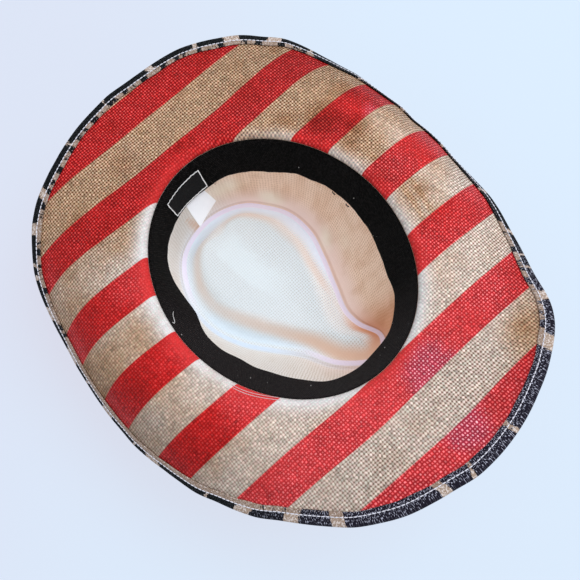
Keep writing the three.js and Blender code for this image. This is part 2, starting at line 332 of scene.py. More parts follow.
@dataclass
class MeshDraft:
    """Grids of points in millimetres that become one closed mesh."""

    points: list[np.ndarray] = field(default_factory=list)
    faces: list[np.ndarray] = field(default_factory=list)
    finishes: list[np.ndarray] = field(default_factory=list)
    maps: dict[str, list[np.ndarray]] = field(default_factory=dict)
    merge_metres: float = 1e-6
    thinnest_metres: float = 1e-7

    @staticmethod
    def corners(grid: np.ndarray) -> np.ndarray:
        """Returns the four corners of each cell of a grid, in order round the cell."""
        return np.stack([grid[:-1, :-1], grid[1:, :-1], grid[1:, 1:], grid[:-1, 1:]], 2)

    def grid(self, points: np.ndarray, maps: dict[str, np.ndarray] | None = None,
             finish: int = 0, ring: bool = True) -> None:
        """Adds a grid of quads.

        Args:
            points: Rows and columns of points.
            maps: For each UV map, rows and columns of coordinates, with one more column in a ring.
            finish: The material's index.
            ring: Whether the last column joins the first.
        """
        first = sum(len(part) for part in self.points)
        index = first + np.arange(points[..., 0].size).reshape(points.shape[:2])
        quads = self.corners(np.hstack([index, index[:, :1]]) if ring else index).reshape(-1, 4)
        self.points.append(points.reshape(-1, 3))
        self.faces.append(quads)
        self.finishes.append(np.full(len(quads), finish))
        for name, values in (maps or {}).items():
            self.maps.setdefault(name, []).append(self.corners(values).reshape(-1, 2))

    def build(self, name: str, materials: list[bpy.types.Material],
              sharp_degrees: float = 50.0) -> bpy.types.Object:
        """Makes the mesh, with its doubles merged and its faces outward.

        Args:
            name: The piece's name.
            materials: The finishes, by index.
            sharp_degrees: Edges that turn further than this stay crisp.

        Returns:
            The new piece.
        """
        mesh = bpy.data.meshes.new(name)
        mesh.from_pydata(np.vstack(self.points) * MM, [], np.vstack(self.faces).tolist())
        mesh.polygons.foreach_set("material_index", np.concatenate(self.finishes))
        for key, values in self.maps.items():
            layer = mesh.uv_layers.new(name=key)
            layer.uv.foreach_set("vector", np.vstack(values).astype(np.float32).ravel())
        shell = bmesh.new()
        shell.from_mesh(mesh)
        bmesh.ops.remove_doubles(shell, verts=shell.verts, dist=self.merge_metres)
        bmesh.ops.dissolve_degenerate(shell, edges=shell.edges, dist=self.thinnest_metres)
        bmesh.ops.recalc_face_normals(shell, faces=shell.faces)
        shell.to_mesh(mesh)
        shell.free()
        for material in materials:
            mesh.materials.append(material)
        mesh.shade_smooth()
        mesh.set_sharp_from_angle(angle=math.radians(sharp_degrees))
        return link_object(name, mesh)


def seat(piece: bpy.types.Object, slot: Slot | None = None, *nodes: str) -> bpy.types.Object:
    """Makes a piece ride on the hat.

    Args:
        piece: The piece.
        slot: The record's material slot for its finish; not used.
        nodes: CAD nodes that it stands for.

    Returns:
        The piece.
    """
    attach(piece, BODY)
    if nodes:
        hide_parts(*nodes)
    low, high = (np.array(c) for c in (piece.bound_box[0], piece.bound_box[6]))
    LOG.info("%s: %d faces, %s mm", piece.name, len(piece.data.polygons),
             np.round((high - low) / MM, 1).tolist())
    return piece


# ---- the form of the hat


UP = np.array([0.0, 0.0, 1.0])
OFF_AXIS = (0.3, 0.2, 0.93)


@dataclass(frozen=True)
class HatForm:
    """Sizes of the hat in millimetres, and the surfaces that follow from them."""

    half_width: float = 84.8
    half_length: float = 100.0
    straw: float = 1.6
    break_radius: float = 6.0
    crown_depth: float = 104.0
    even_taper: float = 0.35
    crest_roundness: float = 0.1
    crest_flat: float = 3.0
    dent_rise: float = 18.0
    dent_slope: float = 21.0
    dent_crease: float = 0.6
    crease_start: float = 0.45
    dent_end_room: float = 24.0
    crest_half_length: float = 93.0
    rim_softness: float = 4.0
    rim_ripple: tuple[float, ...] = (
        0, -0.9, -1.6, -2.7, -3.1, -1.9, 0, 0.6, 0, 0, -0.6, -0.7, 0, 0.7, 1.2, 0.9, 0.8, 0.5, 0.2,
        0.6, -0.3, -1.4, -1.4, -0.6, -1.4, -0.6, 0, -1.3, -1.3, -1.3, -0.6, -1.4, -1.4, -2.3, -2.6,
        -1.0, -1.2, -1.4, -1.4, -1.4, -0.6, -0.6, -1.3, -2.6, -3.2, -1.3, -0.6, -0.6, 0, 0, -1.3,
        -2.0, -2.0, -0.6, -0.6, -1.9, 0, -0.8, -0.8, 0, -1.6, -2.3, -1.4, 0, -1.9, -1.3, -1.9,
        -1.2, -0.6, -1.4, -2.0, -1.6)
    columns: tuple[str, ...] = ("turn", "reach", "rise", "curl", "ridge_x", "ridge_y",
                                "ridge_depth", "pinch", "band_inset")
    table: Rows = (
        (-180, 182.0, -7.9, 1.13, 0, 96.5, 104, -2, 12),
        (-157.5, 182.7, -7.9, 1.29, -36, 88, 104, -2, 8),
        (-135, 177.4, -22.9, 2.36, -57, 59, 104, -3, 10),
        (-112.5, 159.3, -32.2, 3.34, -61, 26, 104, -3, 17),
        (-90, 156.6, -35.5, 3.07, -52, -1, 104, -2, 14.5),
        (-67.5, 161.3, -25.7, 2.66, -38, -22, 104, 1, 17.5),
        (-45, 167.3, -6.4, 1.92, -23, -43, 104, 5, 18),
        (-22.5, 176.8, 24.2, 1.19, -10, -70, 100, 0, 14),
        (0, 180.0, 34.1, 1.20, 13, -89, 96, -3, 13.5),
        (22.5, 179.3, 21.4, 1.78, 31, -76, 98, -1, 12.5),
        (33.75, 179.0, 8.8, 2.02, 26, -60, 101, 4, 13),
        (45, 168.1, -9.1, 2.24, 25.5, -47, 103, 5, 16),
        (67.5, 159.0, -29.3, 2.73, 35, -22, 104, 1, 15.5),
        (90, 155.5, -33.6, 3.44, 46, 3, 104, -2, 13),
        (112.5, 160.5, -24.2, 4.08, 54, 28, 104, -3, 11),
        (135, 174.5, -9.0, 3.08, 51, 56, 104, -3, 12),
        (146.25, 179.2, -4.2, 2.44, 43, 70, 104, -3, 13),
        (157.5, 181.1, -3.6, 1.87, 33, 83, 104, -2, 11))

    @property
    def break_height(self) -> float:
        """Returns the height of the head opening above what the hat lies on."""
        return self.crown_depth + self.straw

    def column(self, name: str, turn: np.ndarray) -> np.ndarray:
        """Reads one column of the table at any turn, smoothly between its rows.

        Args:
            name: The column.
            turn: Turns in degrees from the front.

        Returns:
            The column's values.
        """
        rows = np.array(self.table, float)
        turns, values = rows[:, 0], rows[:, self.columns.index(name)]
        step = np.diff(np.append(turns, turns[0] + 360))
        slope = np.diff(np.append(values, values[0])) / step
        step_before, slope_before = np.roll(step, 1), np.roll(slope, 1)
        tangent = (slope_before * step + slope * step_before) / (step + step_before)
        wrapped = (np.asarray(turn, float) + 180) % 360 - 180
        row = np.searchsorted(turns, wrapped, side="right") - 1
        after = (row + 1) % len(turns)
        u = (wrapped - turns[row]) / step[row]
        return ((2 * u**3 - 3 * u**2 + 1) * values[row]
                + (u**3 - 2 * u**2 + u) * step[row] * tangent[row]
                + (3 * u**2 - 2 * u**3) * values[after]
                + (u**3 - u**2) * step[row] * tangent[after])

    def out(self, turn: np.ndarray) -> np.ndarray:
        """Returns the level directions at some turns."""
        angle = np.radians(turn)
        return np.stack([np.sin(angle), -np.cos(angle), np.zeros_like(angle)], -1)

    def opening(self, turn: np.ndarray) -> np.ndarray:
        """Returns the distance from the middle to the edge of the head opening."""
        angle = np.radians(turn)
        return 1 / np.hypot(np.sin(angle) / self.half_width, np.cos(angle) / self.half_length)

    def brim(self, turn: np.ndarray, share: np.ndarray) -> np.ndarray:
        """Finds points on the underside of the brim.

        Args:
            turn: Turns in degrees.
            share: From 0 at the head opening to 1 at the rim.

        Returns:
            The points.
        """
        opening = self.opening(turn)
        run = (self.column("reach", turn) - opening) * share
        inside = np.maximum(self.break_radius - run, 0)
        lift = np.sqrt(self.break_radius**2 - inside**2)
        point = self.out(turn) * (opening + run + self.ripple(turn) * share**6)[..., None]
        bend = self.column("rise", turn) * share ** self.column("curl", turn)
        point[..., 2] = self.break_height + lift + bend
        return point

    def ripple(self, turn: np.ndarray) -> np.ndarray:
        """Returns how far the limp rim swings out of its even oval at some turns."""
        return read_ring(self.rim_ripple, turn, self.rim_softness)

    def ridge(self, turn: np.ndarray) -> tuple[np.ndarray, np.ndarray]:
        """Finds the middle of the crest, and its level normal toward the dent.

        Args:
            turn: Turns in degrees.

        Returns:
            Points and directions.
        """
        plan = [np.stack([self.column("ridge_x", t), self.column("ridge_y", t)], -1)
                for t in (turn - 1, turn, turn + 1)]
        along = plan[2] - plan[0]
        inward = unit(np.stack([-along[..., 1], along[..., 0], np.zeros_like(turn)], -1))
        depth = np.minimum(self.column("ridge_depth", turn), self.crown_depth)
        middle = np.concatenate([plan[1], (self.break_height - depth)[..., None]], -1)
        return middle, inward

    def wall(self, turn: np.ndarray, share: np.ndarray) -> np.ndarray:
        """Finds points on the inner side of the crown wall.

        Args:
            turn: Turns in degrees.
            share: From 0 at the opening to 1 at the crest.

        Returns:
            The points.
        """
        middle, inward = self.ridge(turn)
        foot = middle - inward * self.crest_flat / 2
        taper = (self.even_taper * share + (1 - self.even_taper) * share**2)[..., None]
        full = math.hypot(1, self.crest_roundness)
        sunk = (full - np.hypot(1 - share, self.crest_roundness)) / (full - self.crest_roundness)
        out = self.out(turn)
        point = out * self.opening(turn)[..., None] * (1 - taper) + foot * taper
        point -= out * (self.column("pinch", turn) * 4 * share * (1 - share))[..., None]
        point[..., 2] = self.break_height - (self.break_height - middle[..., 2]) * sunk
        return point

    def crest_edge(self, turn: np.ndarray) -> np.ndarray:
        """Returns the inner edge of the crest, which the dent rises from."""
        middle, inward = self.ridge(turn)
        return middle + inward * self.crest_flat / 2

    def top(self, turn: np.ndarray, share: np.ndarray) -> np.ndarray:
        """Finds points on the inner side of the top, from the crest to the dent's spine.

        Args:
            turn: Turns in degrees.
            share: From 0 at the crest to 1 on the spine.

        Returns:
            The points.
        """
        edge, other = self.crest_edge(turn), self.crest_edge(-turn)
        spine = (edge + other) / 2
        to_end = np.abs(spine[..., 1]) / self.crest_half_length
        spine[..., 1] *= 1 - self.dent_end_room / self.crest_half_length * to_end**3
        heights = []
        for start in (edge, other):
            way = np.linalg.norm((spine - start)[..., :2], axis=-1)
            rise = self.dent_rise * smoothstep(share * way / self.dent_slope)
            heights.append(start[..., 2] * (1 - share) + spine[..., 2] * share + rise)
        point = edge + (spine - edge) * share[..., None]
        meet = smoothstep((share - 0.5) * 2) / 2
        crease = smoothstep((share - self.crease_start) / (1 - self.crease_start))
        point[..., 2] = heights[0] * (1 - meet) + heights[1] * meet - self.dent_crease * crease
        return point

    def band_outer_inset(self, turn: np.ndarray, depth: np.ndarray) -> np.ndarray:
        """Finds how far the outer side of the sweatband stands in from the opening.

        Args:
            turn: Turns in degrees.
            depth: Depths below the head opening.

        Returns:
            The insets.
        """
        free = self.column("band_inset", turn) - Sweatband.thickness - Sweatband.gap
        return Sweatband.gap + free * (np.maximum(depth, 0) / Sweatband.depth) ** Sweatband.curve

    def inset_point(self, turn: np.ndarray, inset: np.ndarray, depth: np.ndarray) -> np.ndarray:
        """Finds points inside the head opening.

        Args:
            turn: Turns in degrees.
            inset: Distances in from the edge of the opening.
            depth: Depths below it.

        Returns:
            The points.
        """
        point = self.out(turn) * (self.opening(turn) - inset)[..., None]
        point[..., 2] = self.break_height - depth
        return point


def smoothstep(value: np.ndarray) -> np.ndarray:
    """Returns the smooth step of values, 0 below 0 and 1 above 1."""
    t = np.clip(value, 0, 1)
    return t * t * (3 - 2 * t)


def read_ring(values: tuple[float, ...], turn: np.ndarray, soft: float) -> np.ndarray:
    """Reads values that stand evenly round the hat, from -180 degrees on.

    Args:
        values: The values.
        turn: Turns in degrees.
        soft: Degrees over which the corners between the values are rounded.

    Returns:
        The values at the turns.
    """
    known = np.array(values * 3, float)
    at = np.arange(len(known)) * 360 / len(values) - 540
    fine = np.linspace(-540, 540, 4321)
    kernel = np.hanning(int(soft * 4) + 3)
    even = np.convolve(np.interp(fine, at, known), kernel / kernel.sum(), "same")
    return np.interp(turn, fine, even)


def spread(turns: np.ndarray, shares: np.ndarray) -> tuple[np.ndarray, np.ndarray]:
    """Returns turns and shares as grids, a row for each share and a column for each turn."""
    return tuple(np.meshgrid(turns, shares))


def closed_turns(count: int) -> np.ndarray:
    """Returns turns round the hat from -180 to 180 degrees, both ends included."""
    return np.linspace(-180, 180, count + 1)


def grid_normals(points: np.ndarray) -> np.ndarray:
    """Finds the normals of a grid of points that closes round its columns.

    Args:
        points: Rows from the spine out to the rim, and columns round the hat.

    Returns:
        The normals, toward the wearer's side.
    """
    down = np.gradient(points, axis=0)
    across = np.roll(points, -1, 1) - np.roll(points, 1, 1)
    return -unit(np.cross(across, down))


def unit(vectors: np.ndarray) -> np.ndarray:
    """Returns vectors at a length of 1."""
    return vectors / np.maximum(np.linalg.norm(vectors, axis=-1, keepdims=True), 1e-9)


def walked(points: np.ndarray) -> np.ndarray:
    """Returns the distance walked along points from the first row of them to each."""
    step = np.linalg.norm(np.diff(points, axis=0), axis=-1)
    return np.concatenate([np.zeros_like(step[:1]), np.cumsum(step, axis=0)])


def humps(turn: np.ndarray, *rows: tuple[float, float, float]) -> np.ndarray:
    """Returns the sum of soft humps round the hat, each a height, its turn and its width."""
    return sum(height * np.exp(-(((turn - centre + 180) % 360 - 180) / width) ** 2)
               for height, centre, width in rows)


def waves(turn: np.ndarray, rows: Rows) -> np.ndarray:
    """Returns the sum of waves round the hat, each a height, their number and a shift."""
    return sum((height * np.sin(number * np.radians(turn) + shift)
                for height, number, shift in rows), np.zeros_like(turn))


def spots(x: np.ndarray, y: np.ndarray, places: Rows) -> np.ndarray:
    """Returns how strong the strongest of some round soft spots is at each place."""
    return np.max([share * np.exp(-((x - cx)**2 + (y - cy)**2) / radius**2)
                   for cx, cy, radius, share in places], axis=0)


def pair_up(**pairs: tuple[np.ndarray, np.ndarray]) -> dict[str, np.ndarray]:
    """Returns maps of two numbers by their names."""
    return {name: np.stack(pair, -1) for name, pair in pairs.items()}


# ---- finishes


@dataclass(frozen=True)
class Weave:
    """Plain weave of flat strands, as masks from 0 to 1, and how far its relief shows."""

    crown: Signal
    hole: Signal
    tone: Signal
    height: Signal
    raised: Signal
    gap: Signal

    @classmethod
    def on(cls, strands: Signal, raised: Signal, gap: Signal) -> "Weave":
        """Makes the masks.

        Args:
            strands: Coordinates in which each strand is 1 wide.
            raised: How far the raised middles of the strands show.
            gap: How far the gaps between them show.

        Returns:
            The weave.
        """
        tree = strands.tree
        x, y, _ = tree.split(strands)
        sine_x, sine_y = x.wave(1.0), y.wave(1.0)
        round_x, round_y = abs(sine_x), abs(sine_y)
        over = (sine_x * sine_y).step(-0.2, 0.2)
        jump, drift = 5.37, 0.3  # noise waves from one strand to the next, and along each
        tones = [tree.noise(tree.join(strand.math("FLOOR") * jump, way * drift, 0.0), 1.0, 1.0)
                 for strand, way in ((x, y), (y, x))]
        lifts = [across * (along * 0.45 + 0.55)
                 for across, along in ((round_x, round_y), (round_y, round_x))]
        return cls(round_x * round_y * (over * 0.28 + 0.79), (1.0 - round_x) * (1.0 - round_y),
                   over.pick(*tones), over.pick(*lifts), raised, gap)


@dataclass(frozen=True)
class Shades:
    """The colours of one dyed strand: its body, its raised middle and the gap beside it.

    The web says how far the gaps run on along the strands, from 0 for holes alone.
    """

    body: Colour
    crown: Colour
    gap: Colour
    web: float = 0.25
    deep: float = 1.0

    def on(self, weave: Weave) -> Signal:
        """Lays the colours over a weave.

        Args:
            weave: The weave.

        Returns:
            The colour.
        """
        raised = weave.crown.step(0.45, 0.9) * weave.raised
        net = ((1.0 - weave.crown) * self.web).math("MAXIMUM", weave.hole * 2.6)
        colour = raised.tree.blend(raised, self.body, self.crown)
        return colour.mix(net.step(0.12, 0.7) * (weave.gap * self.deep), self.gap)


@dataclass(frozen=True)
class StrawFinish:
    """Woven paper straw with dyed stripes, satin from its sizing. Lengths are in millimetres."""

    period: float = 53.82
    red_width: float = 25.3
    red_start: float = 92.1
    stripe_soft: float = 0.35
    strand_drift: float = 1.15
    underside_relief: float = 0.34
    other_relief: float = 0.14
    red_coral: Shades = Shades((0.76, 0.060, 0.062), (0.90, 0.25, 0.26), (0.36, 0.014, 0.020), 0.7)
    red_deep: Shades = Shades((0.55, 0.012, 0.011), (0.67, 0.095, 0.090), (0.17, 0.003, 0.005), 0.5)
    crimson: Shades = Shades((0.66, 0.088, 0.110), (0.92, 0.46, 0.52), (0.33, 0.022, 0.048), 0.80)
    tan: Shades = Shades((0.60, 0.475, 0.395), (0.77, 0.67, 0.60), (0.15, 0.080, 0.055), 0.35,
                         0.85)
    tan_gold: Shades = Shades((0.45, 0.265, 0.155), (0.66, 0.48, 0.35), (0.105, 0.042, 0.018))
    halo_tan: Colour = (0.78, 0.765, 0.77)
    halo_red: Colour = (0.66, 0.035, 0.035)
    fibre_pink: Colour = (1.06, 0.95, 0.97)
    fibre_green: Colour = (0.94, 1.04, 0.99)
    blotch: Colour = (0.72, 0.57, 0.44)
    # Inside the crown, light and shade are painted into the colours: a shaded peach wall and a lit
    # cool-white wall, a lit cool-white dent, painted shade on the dent's slope and painted
    # highlights by the crest.
    wall_shaded: Shades = Shades((0.80, 0.59, 0.465), (0.86, 0.68, 0.555), (0.51, 0.325, 0.21))
    wall_lit: Shades = Shades((0.70, 0.675, 0.645), (0.75, 0.735, 0.72), (0.48, 0.43, 0.37))
    wall_rise: Colour = (0.78, 0.60, 0.53)
    # Painted shade beside the fold at the front of the crown.
    fold_shade: Colour = (0.56, 0.27, 0.15)
    dent: Shades = Shades((0.655, 0.705, 0.735), (0.70, 0.76, 0.80), (0.46, 0.46, 0.45))
    # Painted shade on the dent's slope, where it faces away from the lamp.
    slope: Colour = (0.675, 0.485, 0.375)
    # The wall's foot by the crest, painted light in pale blue on the side toward the lamp.
    foot: Colour = (0.57, 0.67, 0.80)
    # A painted highlight line along the crest.
    crest: Colour = (0.73, 0.665, 0.81)
    crest_shade: Colour = (0.80, 0.72, 0.68)
    # Painted highlight strips just inside the crest: the first for the lit side, the second for the
    # shaded side.
    strip_highlight_lit_side: Colour = (0.60, 0.705, 0.785)
    strip_highlight_shaded_side: Colour = (0.64, 0.745, 0.88)
    # A painted highlight streak along the dent's spine.
    highlight_streak: Colour = (0.70, 0.78, 0.82)
    # The colours of the painted highlight patches on the wall and of the painted shadow beside the
    # label.
    painted_patch: Colour = (0.80, 0.72, 0.60)
    label_shadow: Colour = (0.62, 0.42, 0.30)
    crease_shade: Colour = (0.87, 0.79, 0.72)
    brown: Colour = (0.56, 0.36, 0.23)
    # The colour of the painted shade spots on the brim.
    spot_shade: Colour = (0.62, 0.44, 0.32)

    def material(self, side: StrawFace) -> bpy.types.Material:
        """Makes the finish of one side of the straw.

        Args:
            side: Which side.

        Returns:
            The material.
        """
        tree = ShaderTree("straw_" + side.name.lower())
        place = tree.objects()
        drift = tree.add("ShaderNodeTexNoise", place, named={"Scale": 150.0, "Detail": 3.0})
        centred = tree.out("ShaderNodeVectorMath", drift.outputs["Color"], (0.5, 0.5, 0.5),
                           operation="SUBTRACT")
        offset = tree.out("ShaderNodeVectorMath", centred, operation="SCALE",
                          named={"Scale": self.strand_drift})
        strands = tree.out("ShaderNodeVectorMath", tree.uv_vector("strands"), offset,
                           operation="ADD")
        contrast, nearness = tree.uv("fade")
        # The light map holds painted light, which multiplies the colour, and the painted shade on
        # the dent's slope.
        painted_light, slope = tree.uv("light")
        wide, fine = tree.noise(place, 24.0, 4.0), tree.noise(place, 380.0, 2.0)
        contrast = contrast * (wide * 1.2 + 0.4)
        weave = Weave.on(strands, contrast * (fine * 1.6 - 0.05), contrast * 0.95)
        if side is StrawFace.CROWN_INSIDE:
            # Inside the crown the straw glows, though it is no lamp: a painted glow that lightens
            # its shade.
            colour, glow = self.inside(weave, place, slope, nearness)
            rough = 0.6
            extra = {"Specular_IOR_Level": 0.06, "Emission_Color": glow, "Emission_Strength": 1.0}
        else:
            colour = self.striped(weave, place, wide, nearness)
            rough, extra = weave.hole * 0.3 + 0.36, {"Specular_IOR_Level": 0.07}
        depth = self.underside_relief if side is StrawFace.UNDERSIDE else self.other_relief
        sag = tree.bump(tree.noise(place, 55.0, 2.0), 0.7, 0.5)
        return tree.shade(colour.tint(1.0, painted_light), rough, tree.bump(weave.height, depth, 0.9, sag),
                          **extra)

    def stripe(self, across: Signal) -> Signal:
        """Returns the mask of the red stripes from millimetres across them."""
        half = self.red_width / 2
        local = (across - (self.red_start + half)).math("PINGPONG", self.period / 2)
        return local.step(half + self.stripe_soft, half - self.stripe_soft)

    def striped(self, weave: Weave, place: Signal, wide: Signal, halo: Signal) -> Signal:
        """The striped colour.

        Args:
            weave: The weave.
            place: Object coordinates.
            wide: Slow noise.
            halo: How near the cloth is to the head opening, where it is dense and clean.

        Returns:
            The colour.
        """
        tree = place.tree
        # How pale the tan and how pink the red is: partly the dye, partly painted highlight toward
        # the front of the brim.
        pale, pink = tree.uv("tone")
        spot_shade, crimson = tree.uv("wear")
        swell = wide * 1.1 - 0.55
        pale_lit_share = (pale + swell).step(0.1, 0.8)
        red = self.red_deep.on(weave).mix((pink + swell).step(0.15, 0.9), self.red_coral.on(weave))
        red = red.mix((crimson + swell).step(0.25, 0.75), self.crimson.on(weave))
        tan = self.tan_gold.on(weave).mix(pale_lit_share, self.tan.on(weave))
        halo = halo.step(0.1, 0.9) * 0.8
        red, tan = red.mix(halo, self.halo_red), tan.mix(halo, self.halo_tan)
        colour = tan.mix(self.stripe(tree.uv("place")[1]), red)
        strand = tree.blend(halo * -0.8 + 0.9, (1.0, 1.0, 1.0), weave.tone * 1.6 + 0.2)
        fibre = tree.blend(tree.noise(place, 700.0, 1.0).step(0.35, 0.65), self.fibre_pink,
                           self.fibre_green)
        colour = colour.tint(1.0, strand).tint(0.8, fibre)
        blotch = tree.noise(place, 60.0, 4.0).step(0.48, 0.75) * (pale_lit_share * -0.35 + 0.65)
        # Dark soft spots on the brim, painted shade.
        spot_shade = (spot_shade + swell).step(0.1, 0.95) * 0.85
        return colour.tint(blotch, self.blotch).tint(spot_shade, self.spot_shade)

    def inside(self, weave: Weave, place: Signal, slope: Signal,
               slope_at: Signal) -> tuple[Signal, Signal]:
        """The unstriped colour inside the crown, with painted light and shade, and a painted glow.

        Args:
            weave: The weave.
            place: Object coordinates.
            slope: How strong the painted shade on the dent's slope is.
            slope_at: Decimetres from the crest to the middle of the dent's slope.

        Returns:
            The colour and the painted glow.
        """
        tree = place.tree
        x, y, _ = tree.split(place)
        outward, _ = tree.uv("place")
        fold_shade, lit_side = tree.uv("tone")
        painted_patch, foot = tree.uv("wear")
        shaded_side = 1.0 - lit_side
        # the crown wall: peach on the side away from the lamp and cool white on the side toward it,
        # painted shade and painted light, with brown noise patches on the shaded side
        patch = tree.noise(place, 42.0, 2.0).step(0.50, 0.68) * (shaded_side * 0.5)
        warm = self.wall_shaded.on(weave).mix(outward.step(30.0, 4.0), self.wall_rise)
        warm = warm.mix(patch * outward.step(12.0, 40.0), self.brown)
        wall = warm.mix(lit_side, self.wall_lit.on(weave))
        # The wall's foot by the crest is painted lit on the side toward the lamp.
        wall = wall.mix(outward.step(7.0, 2.0) * foot, self.foot)
        # Painted highlight patches, and the painted shadow of the label and its wrinkle.
        wall = wall.mix(painted_patch.step(0.0, 1.0) * 0.8, self.painted_patch)
        wall = wall.mix(painted_patch.step(0.0, -1.0) * 0.9, self.label_shadow).mix(fold_shade * 0.85, self.fold_shade)
        creases = tree.out("ShaderNodeMapping", place, named={"Scale": (90.0, 90.0, 12.0)})
        crease = tree.noise(creases, 1.0, 2.0).step(0.40, 0.70) * outward.step(4.0, 16.0)
        wall = wall.tint(crease * (shaded_side * 0.55 + 0.2), self.crease_shade)
        # the dent: a painted highlight streak along it, painted shade on its slope, and a painted
        # highlight strip beside the crest
        lean = x + y.step(0.035, 0.0) * -0.008 - 0.004
        off = tree.noise(place, 90.0, 2.0) * 0.008 + lean
        highlight_streak = (off.step(-0.021, -0.015) * off.step(0.010, -0.001)
                  * (y.step(-0.010, 0.030) * y.step(0.076, 0.060)))
        dent = self.dent.on(weave).mix(highlight_streak * 0.5, self.highlight_streak)
        deep = slope_at * 100.0 + outward
        inner = deep.math("DIVIDE", slope * 16.0 + 3.0)
        dent = dent.mix(inner.step(-1.0, -0.05) * deep.step(14.5, 1.0) * slope, self.slope)
        corner = x.step(-0.020, -0.034) * y.step(0.026, 0.044)
        highlight_strip = outward.step(-1.0, -5.0) * deep.step(5.0, 17.0) * (corner * -0.5 + 0.85)
        dent = dent.mix(highlight_strip, tree.blend(foot, self.strip_highlight_shaded_side, self.strip_highlight_lit_side))
        # The painted shade of the front fold reaches onto the dent.
        dent = dent.mix(fold_shade * outward.step(-19.0, -4.0), self.fold_shade)
        # the crest between them: a painted shade line on the wall side and a painted highlight line
        # along the crest, both fading where the wall's foot is painted lit
        colour = dent.mix(outward.step(-1.5, 0.5), wall)
        shade = abs(outward - 1.6).step(2.2, 0.4) * (foot * -0.8 + 0.8)
        line = abs(outward + 2.2).step(2.6, 1.5) * (foot.step(0.7, 0.25) * 0.88)
        colour = colour.tint(shade, self.crest_shade).mix(line, self.crest)
        # The painted glow is a fifth of the colour, a little more on the shaded side.
        return colour, colour.tint(1.0, shaded_side * 0.03 + 0.20)


@dataclass(frozen=True)
class TapeFinish:
    """Folded tape woven in navy patches on tan. Lengths are in millimetres."""

    navy: Colour = (0.0055, 0.0065, 0.0070)
    navy_front: Colour = (0.012, 0.010, 0.018)
    fleck: Colour = (0.50, 0.50, 0.60)
    tan: Colour = (0.36, 0.255, 0.19)
    tan_fleck: Colour = (0.66, 0.56, 0.51)
    inner_tan: Colour = (0.24, 0.155, 0.11)
    hollow: Colour = (0.02, 0.016, 0.016)
    rib_pitch: float = 1.1
    weft_pitch: float = 1.0

    def material(self) -> bpy.types.Material:
        """Makes the tape's finish.

        Returns:
            The material.
        """
        tree = ShaderTree("rim_tape")
        place = tree.objects()
        along, across = tree.uv("tape")
        outer, inner = tree.uv("patch")
        ragged = (tree.noise(place, 500.0, 3.0) * 3.0 - 1.5) + (
            tree.noise(tree.join(along * 0.9, across * 0.22, 3.0), 1.0, 2.0) * 5.0 - 2.5)
        past_stitch = across.step(3.9, 4.3)
        patch = (past_stitch.pick(inner, outer) + ragged).step(-0.2, 0.3)
        rib, weft = abs(along.wave(self.rib_pitch)), abs(across.wave(self.weft_pitch))
        dash = tree.noise(tree.join(along * 1.5, across * 0.5, 0.0), 1.5, 0.0)
        front = tree.split(place)[1].step(-0.085, -0.14)
        navy = tree.blend(front, self.navy, self.navy_front)
        navy = navy.mix(dash.step(0.60, 0.68) * (front * 0.74 + 0.06), self.fleck)
        grain = tree.noise(place, 850.0, 2.0).step(0.45, 0.6)
        tan = tree.blend(grain, self.tan, self.tan_fleck)
        tan = tan.mix(past_stitch * dash.step(0.62, 0.48) * 0.85, self.inner_tan)
        colour = tan.mix(patch, navy).mix(rib.step(0.35, 0.0) * 0.3, self.hollow)
        return tree.shade(colour, 0.8, tree.bump(rib * weft, 0.2, 0.7), Specular_IOR_Level=0.05)


@dataclass(frozen=True)
class BandFinish:
    """Black ribbed cloth."""

    black: Colour = (0.0016, 0.0015, 0.0014)
    worn: Colour = (0.0022, 0.0020, 0.0019)
    # The lighter tone where the band faces the light, painted light.
    lit_tone: Colour = (0.0112, 0.0090, 0.0096)
    rib: Colour = (0.029, 0.025, 0.024)
    rib_pitch: float = 1.4
    rib_slant: float = 0.35

    def material(self) -> bpy.types.Material:
        """Makes the band's finish.

        Returns:
            The material.
        """
        tree = ShaderTree("band_cloth")
        place = tree.objects()
        along, down = tree.uv("cloth")
        x, y, _ = tree.split(place)
        rib = abs((down * self.rib_slant + along).wave(self.rib_pitch))
        # Lighter on the side where the band faces the light, with its ribs showing more: painted
        # light.
        near = (x + y).step(0.0, -0.075)
        colour = tree.blend(tree.noise(place, 45.0, 3.0).step(0.35, 0.75), self.black, self.worn)
        crest = rib.step(0.4, 1.0) * tree.noise(place, 620.0, 1.0).step(0.38, 0.66)
        colour = colour.mix(near, self.lit_tone).mix(crest * (near * 0.35 + 0.5), self.rib)
        normal = tree.bump(tree.noise(place, 1500.0, 1.0), 0.12, 0.5, tree.bump(rib, 0.3, 0.9))
        return tree.shade(colour, 0.82, normal, Specular_IOR_Level=0.04, Sheen_Weight=0.02,
                          Sheen_Roughness=0.4)


@dataclass(frozen=True)
class LabelFinish:
    """Woven label cloth, bare, with an edge line of its own colour. Lengths in millimetres."""

    name: str
    cloth: Colour
    line: Colour
    half_width: float
    height: float
    line_inset: float
    line_width: float
    roughness: float
    thread_pitch: float = 0.3

    def material(self) -> bpy.types.Material:
        """Makes the label's finish.

        Returns:
            The material.
        """
        tree = ShaderTree(self.name)
        place = tree.objects()
        across, down = tree.uv("cloth")
        end = down.math("MINIMUM", self.height - down)
        inside = (self.half_width - abs(across)).math("MINIMUM", end)
        sway = tree.noise(place, 330.0, 1.0) * 0.9 - 0.45
        line = abs(inside + sway - self.line_inset).step(self.line_width, self.line_width * 0.6)
        thread = across.wave(self.thread_pitch) * down.wave(self.thread_pitch) * 0.5 + 0.5
        colour = tree.blend(tree.noise(place, 1200.0, 1.0) * 0.02, self.cloth, self.line)
        normal = tree.bump(line * 0.8 + thread, 0.12, 0.6)
        return tree.shade(colour.mix(line, self.line), self.roughness, normal,
                          Specular_IOR_Level=0.04)


